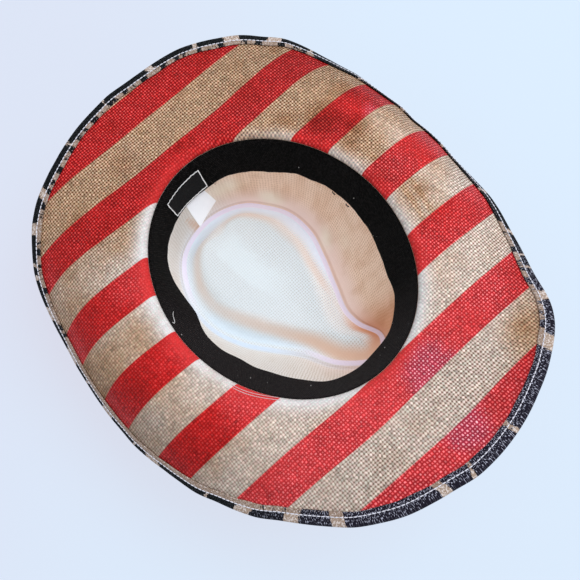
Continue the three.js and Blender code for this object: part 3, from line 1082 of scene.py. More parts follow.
@dataclass(frozen=True)
class ThreadFinish:
    """Twisted sewing thread."""

    name: str
    colour: Colour

    def material(self) -> bpy.types.Material:
        """Makes the thread's finish.

        Returns:
            The material.
        """
        tree = ShaderTree(self.name)
        twist = tree.noise(tree.objects(), 2500.0, 1.0)
        dark = tuple(0.7 * part for part in self.colour)
        shade = tree.blend(twist.step(0.35, 0.7), dark, self.colour)
        return tree.shade(shade, 0.6, tree.bump(twist, 0.08, 0.5))


# ---- the pieces


@dataclass
class StrawShell:
    """The crown and brim, pressed from one woven cloth. Lengths are in millimetres.

    The painted shade spots and the other soft spots are two coordinates, a radius and a strength.
    The slope ring holds turns, how far in the dent's slope is and how strong its painted shade is.
    Presses move the stripes at a place.
    """

    form: HatForm = field(default_factory=HatForm)
    finish: StrawFinish = field(default_factory=StrawFinish)
    spokes: int = 360
    brim_rows: int = 34
    break_rows: int = 9
    wall_rows: int = 34
    top_rows: int = 20
    usual_brim: float = 80.0
    brim_crowding: float = 1.05
    level_from: float = 0.55
    level_run: float = 0.4
    strand: tuple[float, float] = (1.93, 2.03)
    wall_strand: float = 2.8
    wall_strands: int = 236
    stripe_turn: float = 3.7
    # Dark soft spots on the brim, painted shade.
    shade_spots: Rows = (
        (96, 55, 15, 1.0), (106, 33, 11, 0.9), (94, 27, 9, 0.7), (75, 113, 14, 0.6),
        (52, 122, 13, 0.45), (-29, 132, 15, 0.45), (75, 73, 10, 0.35), (92, -6, 9, 0.45),
        (124, 58, 11, 0.5), (124, -7, 11, 0.3), (86, -150, 15, 0.45), (27, -164, 13, 0.4),
        (-111, -61, 13, 0.5), (-126, 7, 13, 0.35), (30, -112, 9, 0.3))
    crimsons: Rows = (
        (14, -129, 24, 1.0), (0, -156, 17, 0.8), (22, -116, 16, 0.7), (124, 34, 14, 0.5))
    # Painted highlight patches on the crown wall.
    highlight_patches: Rows = (
        (200, 10, 12, 0.9), (137, 10, 11, 0.8), (232, 34, 14, 0.8), (120, 30, 14, 0.4))
    # The painted shadow of the label and its wrinkle on the crown wall.
    creases: Rows = (
        (-243, 3, 5, 0.9), (-242, 9, 4.5, 0.9), (-241, 15, 4, 0.8), (-240, 21, 3, 0.7),
        (-239, 27, 2.5, 0.6))
    slope_ring: Rows = (
        (-180, 27, 0.2), (-165, 33, 0.18), (-152, 24, 0.36), (-135, 19, 0.46), (-120, 19, 0.3),
        (-105, 24, 0.43), (-90, 24.5, 0.55), (-75, 22.5, 0.58), (-60, 19, 0.7), (-45, 15.5, 0.86),
        (-30, 12, 0.95), (-10, 6.5, 1.0), (10, 8.5, 1.0), (30, 4, 0.75), (48, 2, 0.35),
        (62, 9, 0.1), (75, 16, 0.34), (92, 23, 0.36), (120, 29, 0.27), (150, 23, 0.36),
        (168, 25, 0.26))
    press_width: float = 34.0
    presses: Rows = (
        (0, 163, 2.0), (-62, 147, 1.0), (-111, 101, 4.3), (-139, 36, 3.6), (-139, -36, 1.5),
        (-111, -101, -0.4), (-62, -147, -0.4), (0, -163, -1.7), (62, -147, 0.8),
        (111, -101, -0.6), (139, -36, 0.7), (139, 36, 2.9), (111, 101, 2.9), (62, 147, 1.2),
        (-27, 117, -2.0), (-106, 6, 1.3), (-89, -66, 0.7), (-38, -113, -2.0), (82, -76, 1.3),
        (106, -6, 0.9), (38, 113, -2.0))

    def rows(self) -> list[tuple[str, np.ndarray]]:
        """Lists the zones from the spine of the dent out to the rim.

        Returns:
            Each zone's name and the shares at which its rows stand.
        """
        bend = 1 - np.cos(np.linspace(0, math.pi / 2, self.break_rows))
        run = self.form.break_radius * bend / self.usual_brim
        outer = run[-1] + (1 - run[-1]) * np.linspace(0, 1, self.brim_rows) ** self.brim_crowding
        ease = np.linspace(0, 1, self.wall_rows)
        wall = np.sin(ease * math.pi / 2) * 0.5 + ease * 0.5
        return [("top", np.linspace(1, 0, self.top_rows)), ("wall", wall[::-1]),
                ("brim", np.concatenate([run, outer[1:]]))]

    def bend(self, x: np.ndarray, y: np.ndarray) -> np.ndarray:
        """Returns how far the pressing has moved the stripes, in millimetres."""
        return sum(move * np.exp(-((x - cx)**2 + (y - cy)**2) / self.press_width**2)
                   for cx, cy, move in self.presses)

    def inner_tones(self, turn: np.ndarray, outward: np.ndarray,
                    points: np.ndarray) -> dict[str, np.ndarray]:
        """Says how the inside of the crown is toned.

        Args:
            turn: Turns in degrees.
            outward: Millimetres out from the crest.
            points: The points.

        Returns:
            Maps of two numbers for each point: tone holds the painted shade of the front fold and
                how far the point is on the side toward the lamp, fade the contrast of the weave and
                the place of the dent's slope, the map of spots and painted light holds the painted
                highlight patches less the painted shadow beside the label and how far the wall's
                foot is painted lit, and light the painted light and the painted shade on the dent's
                slope.
        """
        # The side of the crown toward the lamp is painted lit in cool white; the other side is
        # painted shaded in peach.
        lit_side = smoothstep(0.5 + 0.75 * np.clip(
            (0.139 * points[..., 1] - 0.990 * points[..., 0]) / 45, -1, 1))
        at, middle, warm = np.array(self.slope_ring).T
        slope_at, slope = (np.interp(turn, at, v, period=360) for v in (middle / 100, warm))
        band = smoothstep(-(outward + 2) / 3) * (1 - smoothstep(-(outward + 22) / 10))
        crest = np.exp(-((outward + 1) / 3)**2)
        # Painted light near the crest and on the dent, which evens out its shade.
        painted_light = (1 + band * (0.07 + humps(turn, (0.22, 110, 95)))
                + crest * humps(turn, (0.16, 150, 55), (-0.1, 50, 30)))
        painted_patch = (spots(turn * 1.4, outward, self.highlight_patches)
                 - spots(turn * 1.4, outward, self.creases))
        contrast = 0.45 + humps(turn, (0.25, 70, 60), (0.4, -25, 45))
        return pair_up(tone=(humps(turn, (1, 26, 13)), lit_side), fade=(contrast, slope_at),
                       wear=(painted_patch, humps(turn, (0.95, -88, 58))), light=(painted_light, slope))

    def brim_tones(self, turn: np.ndarray, outward: np.ndarray,
                   points: np.ndarray) -> dict[str, np.ndarray]:
        """Says how the brim is toned and how dense it is, with its painted light and shade.

        Args:
            turn: Turns in degrees.
            outward: Millimetres out from the opening.
            points: The points.

        Returns:
            Maps of two numbers for each point: tone holds how pale the tan is and how pink the red,
                partly dye and partly painted highlight, fade the contrast of the weave and the halo
                round the sweatband, the map of spots and painted light holds the painted shade
                spots and the crimson spots, and light the painted light and shade twice.
        """
        x, y = points[..., 0], points[..., 1]
        reach = np.exp(-np.maximum(outward - 5, 0) / 8.0)
        glow = smoothstep((turn + 152) / 28) * smoothstep((-turn - 20) / 60)
        halo = reach * (0.42 + humps(turn, (0.62, -118, 55), (0.42, -10, 60), (0.04, 65, 35),
                                     (0.06, 125, 40), (-0.2, 155, 22)))
        rim = smoothstep((outward - 45) / 30) * humps(turn, (1, 26, 18))
        # A painted highlight along a ridge out on the side of the brim: paler, lighter and with
        # less weave showing.
        ridge = np.exp(-((outward - 44) / 13)**2) * humps(turn, (1, 96, 27))
        faded = smoothstep((outward - 60) / 16) * humps(turn, (1, -102, 34))
        # Painted shade along two fold lines near the opening at the side.
        fold_shade_lines = (sum(np.exp(-((outward - far) / 1.6) ** 2) for far in (17, 25))
                 * humps(turn, (1, 80, 38)))
        # Paler and pinker toward the front: partly the dye, partly painted highlight where the brim
        # faces the lamp.
        pale = (0.05 + 0.80 * smoothstep((0.35 * np.abs(x) - y + 15) / 160) - 0.6 * rim
                + 0.9 * np.exp(-outward / 34) * glow + 0.25 * ridge - 0.3 * fold_shade_lines
                + humps(turn, (-0.22, -78, 34), (0.16, -122, 22)))
        pink = (0.05 + 0.95 * smoothstep((0.35 * x - y + 15) / 110)
                * (1 - humps(turn, (0.6, 68, 48)))
                + 0.65 * np.exp(-outward / 24) * glow - 0.4 * rim + 0.55 * faded)
        # Painted light and shade over the brim, which multiplies its colour: darker and lighter
        # zones, and the ridge's painted highlight.
        painted_light = (1 - 0.1 * rim
                - smoothstep((outward - 20) / 46) * humps(turn, (0.3, -82, 44))
                - smoothstep((outward - 30) / 35) * humps(turn, (0.17, 128, 30))
                + smoothstep((outward - 30) / 20) * humps(turn, (0.12, 180, 26))
                + 0.14 * ridge + humps(turn, (0.06, 50, 32)) - 0.08 * faded
                + reach * humps(turn, (0.24, 125, 58)))
        contrast = (1.25 - 0.25 * reach - 0.55 * ridge
                    - humps(turn, (0.78, -95, 50), (0.25, -30, 40), (0.25, 30, 45)))
        wear = spots(x, y, self.shade_spots), spots(x, y, self.crimsons)
        return pair_up(tone=(pale, pink), fade=(contrast, halo), wear=wear, light=(painted_light, painted_light))

    def maps(self, zone: str, turn: np.ndarray, points: np.ndarray,
             walk: np.ndarray) -> dict[str, np.ndarray]:
        """Makes the UV maps of one zone.

        Args:
            zone: The zone's name.
            turn: Turns in degrees, a column for each, both ends of the ring included.
            points: The points.
            walk: Millimetres walked along the section from the first row.

        Returns:
            Coordinates for each map.
        """
        x, y = points[..., 0], points[..., 1]
        a = math.radians(self.stripe_turn)
        along, across = x * math.cos(a) - y * math.sin(a), y * math.cos(a) + x * math.sin(a)
        if zone == "wall":
            walk = walk[-1:] - walk
            strands = (turn / 360 * self.wall_strands, walk / self.wall_strand)
            across = across + np.cos(np.radians(turn)) * walk
            outward = walk[:1] - walk
        else:
            strands = (along / self.strand[0], across / self.strand[1])
            outward = walk if zone == "brim" else walk - walk[-1:]
        tones = self.brim_tones if zone == "brim" else self.inner_tones
        return {**pair_up(strands=strands, place=(outward, across - self.bend(x, y))),
                **tones(turn, outward, points)}

    def normals(self, points: np.ndarray, crest: int, level: np.ndarray) -> np.ndarray:
        """Finds the shell's normals, evened where the cloth folds over.

        Args:
            points: The inner side, rows from the spine of the dent out to the rim.
            crest: The row of the crest.
            level: How level the normals are held, from 0 to 1, a number for each row of the top.

        Returns:
            The normals.
        """
        normals = grid_normals(points)
        # Known fault: at the spine's front end this is 0 / 0, so the outer side has one vertex
        # without a valid place. unit(spine) would mend it, and changes two triangles there.
        spine = normals[0] + np.roll(normals[0, ::-1], 1, axis=0)
        normals[0] = spine / np.linalg.norm(spine, axis=-1, keepdims=True)
        normals[crest - 1:crest + 1] = UP
        normals[:crest] = unit(normals[:crest] * (1 - level) + UP * level)
        return normals

    def build(self) -> bpy.types.Object:
        """Makes the shell, its inner and outer sides and its edge at the rim.

        Returns:
            The piece.
        """
        form, draft, turns = self.form, MeshDraft(), closed_turns(self.spokes)
        zones, surfaces = self.rows(), {"top": form.top, "wall": form.wall, "brim": form.brim}
        points = np.vstack([surfaces[zone](*spread(turns, shares)) for zone, shares in zones])
        sizes = np.cumsum([0] + [len(shares) for _, shares in zones])
        level = smoothstep((zones[0][1] - self.level_from) / self.level_run)[:, None, None]
        opening = sizes[2]  # the wall's last row and the brim's first are the same points
        normals = self.normals(np.delete(points, opening, 0)[:, :-1], sizes[1], level)
        normals = np.insert(normals, opening, normals[opening - 1], 0)
        outer = points - np.concatenate([normals, normals[:, :1]], 1) * form.straw
        for (zone, _), first, last in zip(zones, sizes, sizes[1:]):
            rows = slice(first, last + (zone == "top"))
            turn = np.broadcast_to(turns, points[rows].shape[:2])
            maps = self.maps(zone, turn, points[rows], walked(points[rows]))
            side = StrawFace.UNDERSIDE if zone == "brim" else StrawFace.CROWN_INSIDE
            draft.grid(points[rows][:, :-1], maps, side.value)
            draft.grid(outer[rows][:, :-1], maps, StrawFace.OUTSIDE.value)
        edge = np.stack([points[-1, :-1], outer[-1, :-1]])
        flat = {key: np.repeat(value[-1:], 2, 0) for key, value in maps.items()}
        draft.grid(edge, flat, StrawFace.OUTSIDE.value)
        shell = draft.build("straw_shell", [self.finish.material(side) for side in StrawFace])
        return seat(shell, Slot.STRAW, "straw_body")


@dataclass(frozen=True)
class Stitches:
    """A ring of stitches or thread ends. Lengths are in millimetres.

    Filled is the share of the pitch that each covers. Loose is how far each is turned out of
    line, in radians. The waves are in how high they lie.
    """

    name: str
    thread: ThreadFinish
    from_rim: float
    lift: float
    pitch: float
    filled: float
    radius: float
    loose: float = 0.0
    waves: Rows = ()

    def lay(self, line: np.ndarray) -> bpy.types.Object:
        """Lays them along a closed line.

        Args:
            line: Points in millimetres, the last of which joins the first.

        Returns:
            The stitches as one piece.
        """
        count = len(line)
        mesh = bpy.data.meshes.new(self.name + "_line")
        mesh.from_pydata(line * MM, [(i, (i + 1) % count) for i in range(count)], [])
        tree = GeometryTree(self.name, {
            "Pitch": self.pitch * MM, "Half Length": self.pitch * self.filled / 2 * MM,
            "Radius": self.radius * MM, "Loose": self.loose, "Seed": 5})
        source = tree.source
        curve = tree.out("GeometryNodeMeshToCurve", source["Geometry"])
        even = tree.out("GeometryNodeResampleCurve", mode="LENGTH",
                        named={"Curve": curve, "Length": source["Pitch"]})
        turn = tree.out("FunctionNodeAlignRotationToVector", axis="X",
                        named={"Vector": tree.out("GeometryNodeInputTangent")})
        ball = tree.out("GeometryNodeMeshUVSphere",
                        named={"Segments": 8, "Rings": 6, "Radius": 1.0})
        scale = tree.out("ShaderNodeCombineXYZ", source["Half Length"], source["Radius"],
                         source["Radius"])
        shaped = tree.out("GeometryNodeTransform", named={"Geometry": ball, "Scale": scale})
        laid = tree.out("GeometryNodeInstanceOnPoints",
                        named={"Points": even, "Instance": shaped, "Rotation": turn})
        back = tree.out("ShaderNodeMath", source["Loose"], -1.0, operation="MULTIPLY")
        swing = tree.out("FunctionNodeRandomValue", back, source["Loose"],
                         named={"Seed": source["Seed"]}, data_type="FLOAT_VECTOR")
        laid = tree.out("GeometryNodeRotateInstances",
                        named={"Instances": laid, "Rotation": swing})
        piece = tree.bake(link_object(self.name + "_line", mesh), self.name, laid,
                          self.thread.material())
        piece.data.shade_smooth()
        return piece


@dataclass
class RimBinding:
    """Tape folded over the rim, and the stitches that hold it. Lengths are in millimetres.

    Each tan gap stands at a turn, with half its length and how far it slants.
    """

    form: HatForm = field(default_factory=HatForm)
    finish: TapeFinish = field(default_factory=TapeFinish)
    topstitch: Stitches = Stitches(
        "rim_topstitch", ThreadFinish("topstitch_white", (0.88, 0.86, 0.94)), from_rim=4.1,
        lift=1.4, pitch=3.0, filled=0.98, radius=0.36)
    fray: Stitches = Stitches(
        "tape_fray", ThreadFinish("tape_fray", (0.70, 0.58, 0.55)), from_rim=7.05, lift=1.05,
        pitch=2.3, filled=0.55, radius=0.15, loose=0.9, waves=((0.25, 37, 0),))
    spokes: int = 900
    stitch_spokes: int = 720
    gap: float = 0.3
    thickness: float = 1.0
    flange: float = 7.2
    across_tape: tuple[float, ...] = (5.7, 4.3, 2.9, 1.5, 0.0)
    nose: float = 0.4
    nose_turns: tuple[int, ...] = (-72, -48, -24, 0, 24, 48, 72)
    edge_bulge: float = -0.35
    edge_waves: Rows = ((0.22, 23, 0), (0.15, 51, 1))
    longest_patch: float = 9.0
    dash_waves: Rows = ((1.1, 9.3), (1.1, 15.7))
    tan_gaps: Rows = (
        (-178.2, 0.8, 0.1), (-165.4, 1.3, -0.1), (-152.2, 3.6, 0.7), (-144.2, 4.2, -0.2),
        (-135.9, 1.1, 0.6), (-133.1, 1.4, 0.0), (-124.4, 5.0, 0.4), (-113.0, 6.5, -0.3),
        (-105.0, 0.9, 0.3), (-95.8, 5.5, 0.3), (-85.0, 0.7, 0.0), (-78.9, 6.2, -0.4),
        (-62.5, 0.8, 0.2), (-53.2, 5.4, 0.5), (-42.1, 5.2, 0.3), (-32.6, 4.6, -0.1),
        (-11.8, 3.2, -0.4), (-5.4, 0.9, 0.4), (5.9, 1.5, -0.1), (25.6, 5.4, 0.2),
        (36.0, 3.6, -0.5), (43.3, 0.8, 0.0), (46.9, 0.8, 0.0), (53.8, 2.0, 0.4),
        (67.0, 1.5, 0.3), (84.5, 1.2, -0.2), (99.0, 1.5, 0.2), (113.0, 1.0, 0.4),
        (128.0, 1.2, 0.0), (137.2, 5.0, 0.5), (147.4, 5.8, -0.1), (156.5, 1.6, 0.2),
        (168.3, 2.8, -0.4))

    def stations(self, turns: np.ndarray, distances: tuple[float, ...]
                 ) -> tuple[np.ndarray, np.ndarray]:
        """Finds points and normals of the straw at distances in from the rim.

        Args:
            turns: Turns in degrees.
            distances: Distances along the brim.

        Returns:
            Both, a row for each distance.
        """
        shares = np.linspace(1, 0.8, 201)
        points = self.form.brim(*spread(turns, shares))
        normals = grid_normals(points[::-1])[::-1]
        walk, spoke, found = walked(points), np.arange(len(turns)), []
        for distance in distances:
            row = np.clip((walk < distance).sum(axis=0), 1, len(shares) - 1)
            low, high = walk[row - 1, spoke], walk[row, spoke]
            part = np.clip((distance - low) / (high - low), 0, 1)[:, None]
            found.append([grid[row - 1, spoke] * (1 - part) + grid[row, spoke] * part
                          for grid in (points, normals)])
        return tuple(np.stack(grids) for grids in zip(*found))

    def patches(self, turns: np.ndarray, along: np.ndarray, across: np.ndarray) -> np.ndarray:
        """Finds how far inside a navy patch each place is.

        Args:
            turns: Turns in degrees, one for each column.
            along: Millimetres along the rim, one for each column.
            across: Millimetres in from the rim, one for each row.

        Returns:
            Millimetres for the strip outside the topstitch and for the strip inside it.
        """
        place, inward = np.meshgrid(along, across)
        outer = np.full_like(place, self.longest_patch)
        for centre, half, slant in self.tan_gaps:
            middle = np.interp(centre, turns, along) + slant * (inward - 2.5)
            outer = np.minimum(outer, np.abs(place - middle) - half)
        dashes = sum(height * np.sin(place * math.tau / length)
                     for height, length in self.dash_waves) - 0.1
        front, right, left = (smoothstep((turns - start) / 10) * smoothstep((end - turns) / 8)
                              for start, end in ((-44, 30), (55, 128), (-118, -44)))
        inner = np.minimum(outer, dashes + 7 * np.maximum(front, right * 0.6) - 2.8 * left)
        return np.stack([outer, inner], -1)

    def build(self) -> list[bpy.types.Object]:
        """Makes the tape, its topstitch and the ends that fray from it.

        Returns:
            The pieces.
        """
        turns = closed_turns(self.spokes)
        distances = (self.flange, *self.across_tape)
        points, normals = self.stations(turns[:-1], distances)
        out = unit(points[-1] - points[-2])
        inward, last = list(range(len(self.across_tape))), len(self.across_tape)
        low_in, high_in = -self.form.straw - self.gap, self.gap
        low_out, high_out = low_in - self.thickness, high_in + self.thickness
        sway = waves(turns[:-1], self.edge_waves)

        def place(row: int, height: float, forward: float = 0.0) -> np.ndarray:
            """Returns a ring of points off the straw."""
            wander = sway * (row == 0)
            return points[row] + normals[row] * height + out * (forward + wander)[:, None]

        loop = [place(i, high_in) for i in inward]
        loop += [place(last, height, self.gap) for height in (high_in, low_in)]
        loop += [place(i, low_in) for i in inward[::-1]]
        loop += [place(0, (low_in + low_out) / 2, self.edge_bulge)]
        loop += [place(i, low_out) for i in inward]
        middle, half = (high_in + low_in) / 2, (high_out - low_out) / 2
        reach = self.gap + self.thickness + self.nose
        loop += [place(last, middle + half * math.sin(turn), reach * math.cos(turn))
                 for turn in np.radians(self.nose_turns)]
        loop += [place(i, high_out) for i in inward[::-1]]
        loop += [place(0, (high_in + high_out) / 2, self.edge_bulge)]
        rings = np.stack(loop + loop[:1])
        along = walked(np.vstack([points[-1], points[-1][:1]]))
        flat, edge = [distances[i] for i in inward], [8]
        across = np.array(flat + [0, 0] + flat[::-1] + edge + flat + [0] * len(self.nose_turns)
                          + flat[::-1] + edge * 2)
        maps = {"tape": np.stack(np.meshgrid(along, across), -1),
                "patch": self.patches(turns, along, across)}
        draft = MeshDraft()
        draft.grid(rings, maps)
        tape = seat(draft.build("rim_tape", [self.finish.material()]), Slot.TAPE, "rim_binding")
        return [tape, self.sew(self.topstitch), self.sew(self.fray)]

    def sew(self, stitches: Stitches) -> bpy.types.Object:
        """Lays stitches on the side of the tape that the wearer sees.

        Args:
            stitches: What to lay.

        Returns:
            The piece.
        """
        turns = closed_turns(self.stitch_spokes)[:-1]
        points, normals = self.stations(turns, (stitches.from_rim,))
        height = stitches.lift + waves(turns, stitches.waves)
        return seat(stitches.lay(points[0] + normals[0] * height[:, None]))


def thread_mesh(name: str, line: np.ndarray, radius: float, material: bpy.types.Material,
                sides: int = 6) -> bpy.types.Object:
    """Makes a thread with rounded ends along a line.

    Args:
        name: The piece's name.
        line: Points in millimetres.
        radius: The thread's half thickness in millimetres.
        material: The thread's finish.
        sides: How many sides the thread has.

    Returns:
        The thread.
    """
    along = unit(np.gradient(line, axis=0))
    side = unit(np.cross(along, OFF_AXIS))
    rise = np.cross(along, side)
    angles = np.linspace(0, math.tau, sides, endpoint=False)[:, None]
    ring = side[:, None] * np.cos(angles) + rise[:, None] * np.sin(angles)
    width = np.full((len(line), 1, 1), radius)
    width[[0, -1]] = radius * 0.02
    ends = [np.repeat(line[end, None, None], sides, 1) for end in (0, -1)]
    draft = MeshDraft()
    draft.grid(np.concatenate([ends[0], line[:, None] + ring * width, ends[1]]))
    return draft.build(name, [material])


@dataclass
class Sweatband:
    """The black cloth ring inside the head opening. Lengths are in millimetres.

    The free edge is read every 7.5 degrees from the back on. Grains lie at a turn and a depth.
    """

    form: HatForm = field(default_factory=HatForm)
    finish: BandFinish = field(default_factory=BandFinish)
    lint: ThreadFinish = ThreadFinish("lint_pale", (0.42, 0.40, 0.38))
    thickness: float = 1.3
    gap: float = 0.3
    depth: float = 30.0
    curve: float = 1.1
    spokes: int = 480
    usual_radius: float = 92.0
    top_depth: float = -0.5
    seam_gap: float = 0.22
    edge_waves: Rows = ((0.15, 61, 0),)
    wall_waves: Rows = ((0.30, 9, 1), (0.22, 19, 0))
    lint_count: int = 16
    cloth_square_metres: float = 0.0165
    grain_radius: float = 0.42
    lint_at: Rows = (
        (126.75, 21.8), (91.5, 21.0), (-31.25, 20.4), (7.0, 20.4), (-98.25, 0.6), (-60.0, 12.0))
    edge_softness: float = 5.0
    free_edge: tuple[float, ...] = (
        28.6, 28.4, 28.6, 30.6, 27.4, 27.2, 30.9, 32.3, 34.0, 31.8, 29.8, 29.7, 30.3, 29.8, 30.2,
        31.4, 31.4, 32.0, 31.0, 29.6, 31.4, 28.4, 27.4, 31.2, 33.2, 30.2, 28.4, 29.7, 32.0, 29.9,
        30.8, 31.4, 31.8, 31.0, 29.2, 29.5, 30.2, 30.3, 31.8, 31.0, 31.2, 29.2, 30.5, 31.3, 29.6,
        30.1, 28.8, 28.5)

    def build(self) -> list[bpy.types.Object]:
        """Makes the band and the lint on it.

        Returns:
            The pieces.
        """
        turns = closed_turns(self.spokes)[:-1]
        reach = read_ring(self.free_edge, turns, self.edge_softness) + 0.4 - self.depth
        reach += waves(turns, self.edge_waves)
        half = self.thickness / 2
        rounding = np.array([0.35] + [1.0] * 13 + [0.85, 0.35])
        shares = np.concatenate([[0.0], np.linspace(0.02, 0.95, 13), [0.98, 1.0]])
        turn, share = spread(turns, shares)
        depth = self.top_depth + (self.depth - self.top_depth) * share
        middle = self.form.band_outer_inset(turn, depth) + half
        middle -= self.seam_gap * np.exp(-np.maximum(depth, 0) / 2.0)
        ripple = waves(turns, self.wall_waves) + reach * 0.12
        middle += ripple * share**3
        depth += reach * share**3
        wide = half * rounding[:, None]
        outer = self.form.inset_point(turn, middle - wide, depth)
        inner = self.form.inset_point(turn, middle + wide, depth)
        along = np.arange(self.spokes + 1) * (math.tau * self.usual_radius / self.spokes)
        down = np.concatenate([shares, shares[::-1], shares[:1]]) * self.depth
        draft = MeshDraft()
        draft.grid(np.concatenate([inner, outer[::-1], inner[:1]]),
                   {"cloth": np.stack(np.meshgrid(along, down), -1)})
        band = draft.build("sweatband_cloth", [self.finish.material()])
        return [seat(band, Slot.BAND, "sweatband"), self.specks(inner), self.grains()]

    def grains(self) -> bpy.types.Object:
        """Makes the larger grains of lint, each where it lies.

        Returns:
            The piece.
        """
        turn, depth = np.array(self.lint_at).T
        inset = self.form.band_outer_inset(turn, depth) + self.thickness + 0.25
        angle, tilt = np.meshgrid(np.linspace(0, math.tau, 9)[:-1], np.linspace(0, math.pi, 6))
        ball = np.stack([np.sin(tilt) * np.cos(angle), np.sin(tilt) * np.sin(angle),
                         np.cos(tilt)], -1) * self.grain_radius
        draft = MeshDraft()
        for centre in self.form.inset_point(turn, inset, depth):
            draft.grid(centre + ball)
        return seat(draft.build("band_lint_grains", [self.lint.material()]))

    def specks(self, inner: np.ndarray) -> bpy.types.Object:
        """Strews pale lint over the inner side.

        Args:
            inner: The grid of points on the inner side.

        Returns:
            The lint as one piece.
        """
        draft = MeshDraft()
        draft.grid(inner[1:-1])
        carrier = draft.build("lint_ground", [])
        tree = GeometryTree("band_lint", {
            "Density": self.lint_count / self.cloth_square_metres, "Seed": 7,
            "Smallest": 0.10 * MM, "Largest": 0.26 * MM})
        source = tree.source
        strewn = tree.out("GeometryNodeDistributePointsOnFaces", named={
            "Mesh": source["Geometry"], "Density": source["Density"], "Seed": source["Seed"]})
        grain = tree.out("GeometryNodeMeshIcoSphere", named={"Radius": 1.0, "Subdivisions": 1})
        size = tree.add("FunctionNodeRandomValue", None, None, source["Smallest"],
                        source["Largest"], named={"Seed": source["Seed"]}, data_type="FLOAT")
        laid = tree.out("GeometryNodeInstanceOnPoints", named={
            "Points": strewn, "Instance": grain, "Scale": size.outputs[1]})
        return seat(tree.bake(carrier, "band_lint", laid, self.lint.material()))


@dataclass
class Labels:
    """The black label on the sweatband and the white one that hangs below it, both bare."""

    form: HatForm = field(default_factory=HatForm)
    thickness: float = 0.6
    black_turn: float = -174.5
    black_width: float = 37.0
    black_top: float = 8.0
    black_bottom: float = 27.0
    black_grid: tuple[int, int] = (60, 32)
    white_turn: float = -176.8
    white_width: float = 20.0
    white_height: float = 44.0
    white_top: float = 5.0
    white_leaves: float = 30.5
    white_grid: tuple[int, int, int] = (30, 16, 26)
    white_corners: Rows = ((-16.2, 75.0, 61.0), (7.6, 83.4, 57.0))
    white_sag: float = 1.1

    def turns(self, centre: float, width: float, count: int) -> np.ndarray:
        """Returns turns across a label."""
        half = math.degrees(width / 2 / float(self.form.opening(np.array(centre))))
        return np.linspace(centre - half, centre + half, count)

    def sheet(self, name: str, front: np.ndarray, back: np.ndarray,
              finish: LabelFinish) -> bpy.types.Object:
        """Closes a thin label between its two faces.

        Args:
            name: The piece's name.
            front: The grid of the side that shows.
            back: The grid of the other side.
            finish: Its finish, which knows its size.

        Returns:
            The label.
        """
        rows, columns = front.shape[:2]
        flat = np.stack(np.meshgrid(
            np.linspace(-finish.half_width, finish.half_width, columns),
            np.linspace(0, finish.height, rows)), -1)
        draft = MeshDraft()
        for face in (front, back):
            draft.grid(face, {"cloth": flat}, ring=False)
        for cut in ((slice(None), 0), (slice(None), -1), (0, slice(None)), (-1, slice(None))):
            draft.grid(np.stack([front[cut], back[cut]]),
                       {"cloth": np.stack([flat[cut], flat[cut]])}, ring=False)
        return draft.build(name, [finish.material()], 40.0)

    def build(self) -> list[bpy.types.Object]:
        """Makes both labels."""
        return [self.black(), self.white()]

    def black(self) -> bpy.types.Object:
        """Makes the label on the band.

        Returns:
            The piece.
        """
        columns, rows = self.black_grid
        turns = self.turns(self.black_turn, self.black_width, columns)
        turn, depth = spread(turns, np.linspace(self.black_top, self.black_bottom, rows))
        inset = self.form.band_outer_inset(turn, depth) + Sweatband.thickness + Sweatband.gap
        crimp = 0.12 * np.sin(turn * 3.1) * np.sin(depth * 0.9)
        front = self.form.inset_point(turn, inset + self.thickness * 0.8 + crimp, depth)
        back = self.form.inset_point(turn, inset, depth)
        finish = LabelFinish("label_black", (0.0030, 0.0030, 0.0035), (0.88, 0.87, 0.86),
                             self.black_width / 2, self.black_bottom - self.black_top,
                             line_inset=0.75, line_width=0.5, roughness=0.6)
        return seat(self.sheet("band_label_black", front, back, finish), Slot.LABEL_BLACK,
                    "band_label")

    def white(self) -> bpy.types.Object:
        """Makes the label that hangs out below the band.

        Returns:
            The piece.
        """
        columns, upper_rows, lower_rows = self.white_grid
        turns = self.turns(self.white_turn, self.white_width, columns)
        turn, depth = spread(turns, np.linspace(self.white_top, self.white_leaves, upper_rows))
        upper = self.form.inset_point(turn, self.form.band_outer_inset(turn, depth) - 0.3, depth)
        side = np.linspace(0, 1, len(turns))[:, None]
        left, right = np.array(self.white_corners)
        end = right * (1 - side) + left * side
        end[:, 2] += self.white_sag * np.sin(side[:, 0] * math.pi)
        start = upper[-1]
        knee = start + np.array([0.0, -1.5, -6.0]) + (end - start) * np.array([0.45, 0.2, 0.0])
        t = np.linspace(0, 1, lower_rows)[1:, None, None]
        lower = start * (1 - t)**2 + knee * 2 * t * (1 - t) + end * t**2
        front = np.concatenate([upper, lower])
        normal = unit(np.cross(np.gradient(front, axis=1), np.gradient(front, axis=0)))
        normal *= np.sign(normal[..., 1:2])
        finish = LabelFinish("label_white", (0.93, 0.93, 0.96), (0.96, 0.96, 0.98),
                             self.white_width / 2, self.white_height, line_inset=0.6,
                             line_width=0.3, roughness=0.45)
        piece = self.sheet("care_label_white", front, front + normal * self.thickness * 0.6,
                           finish)
        return seat(piece, Slot.LABEL_WHITE, "care_label")


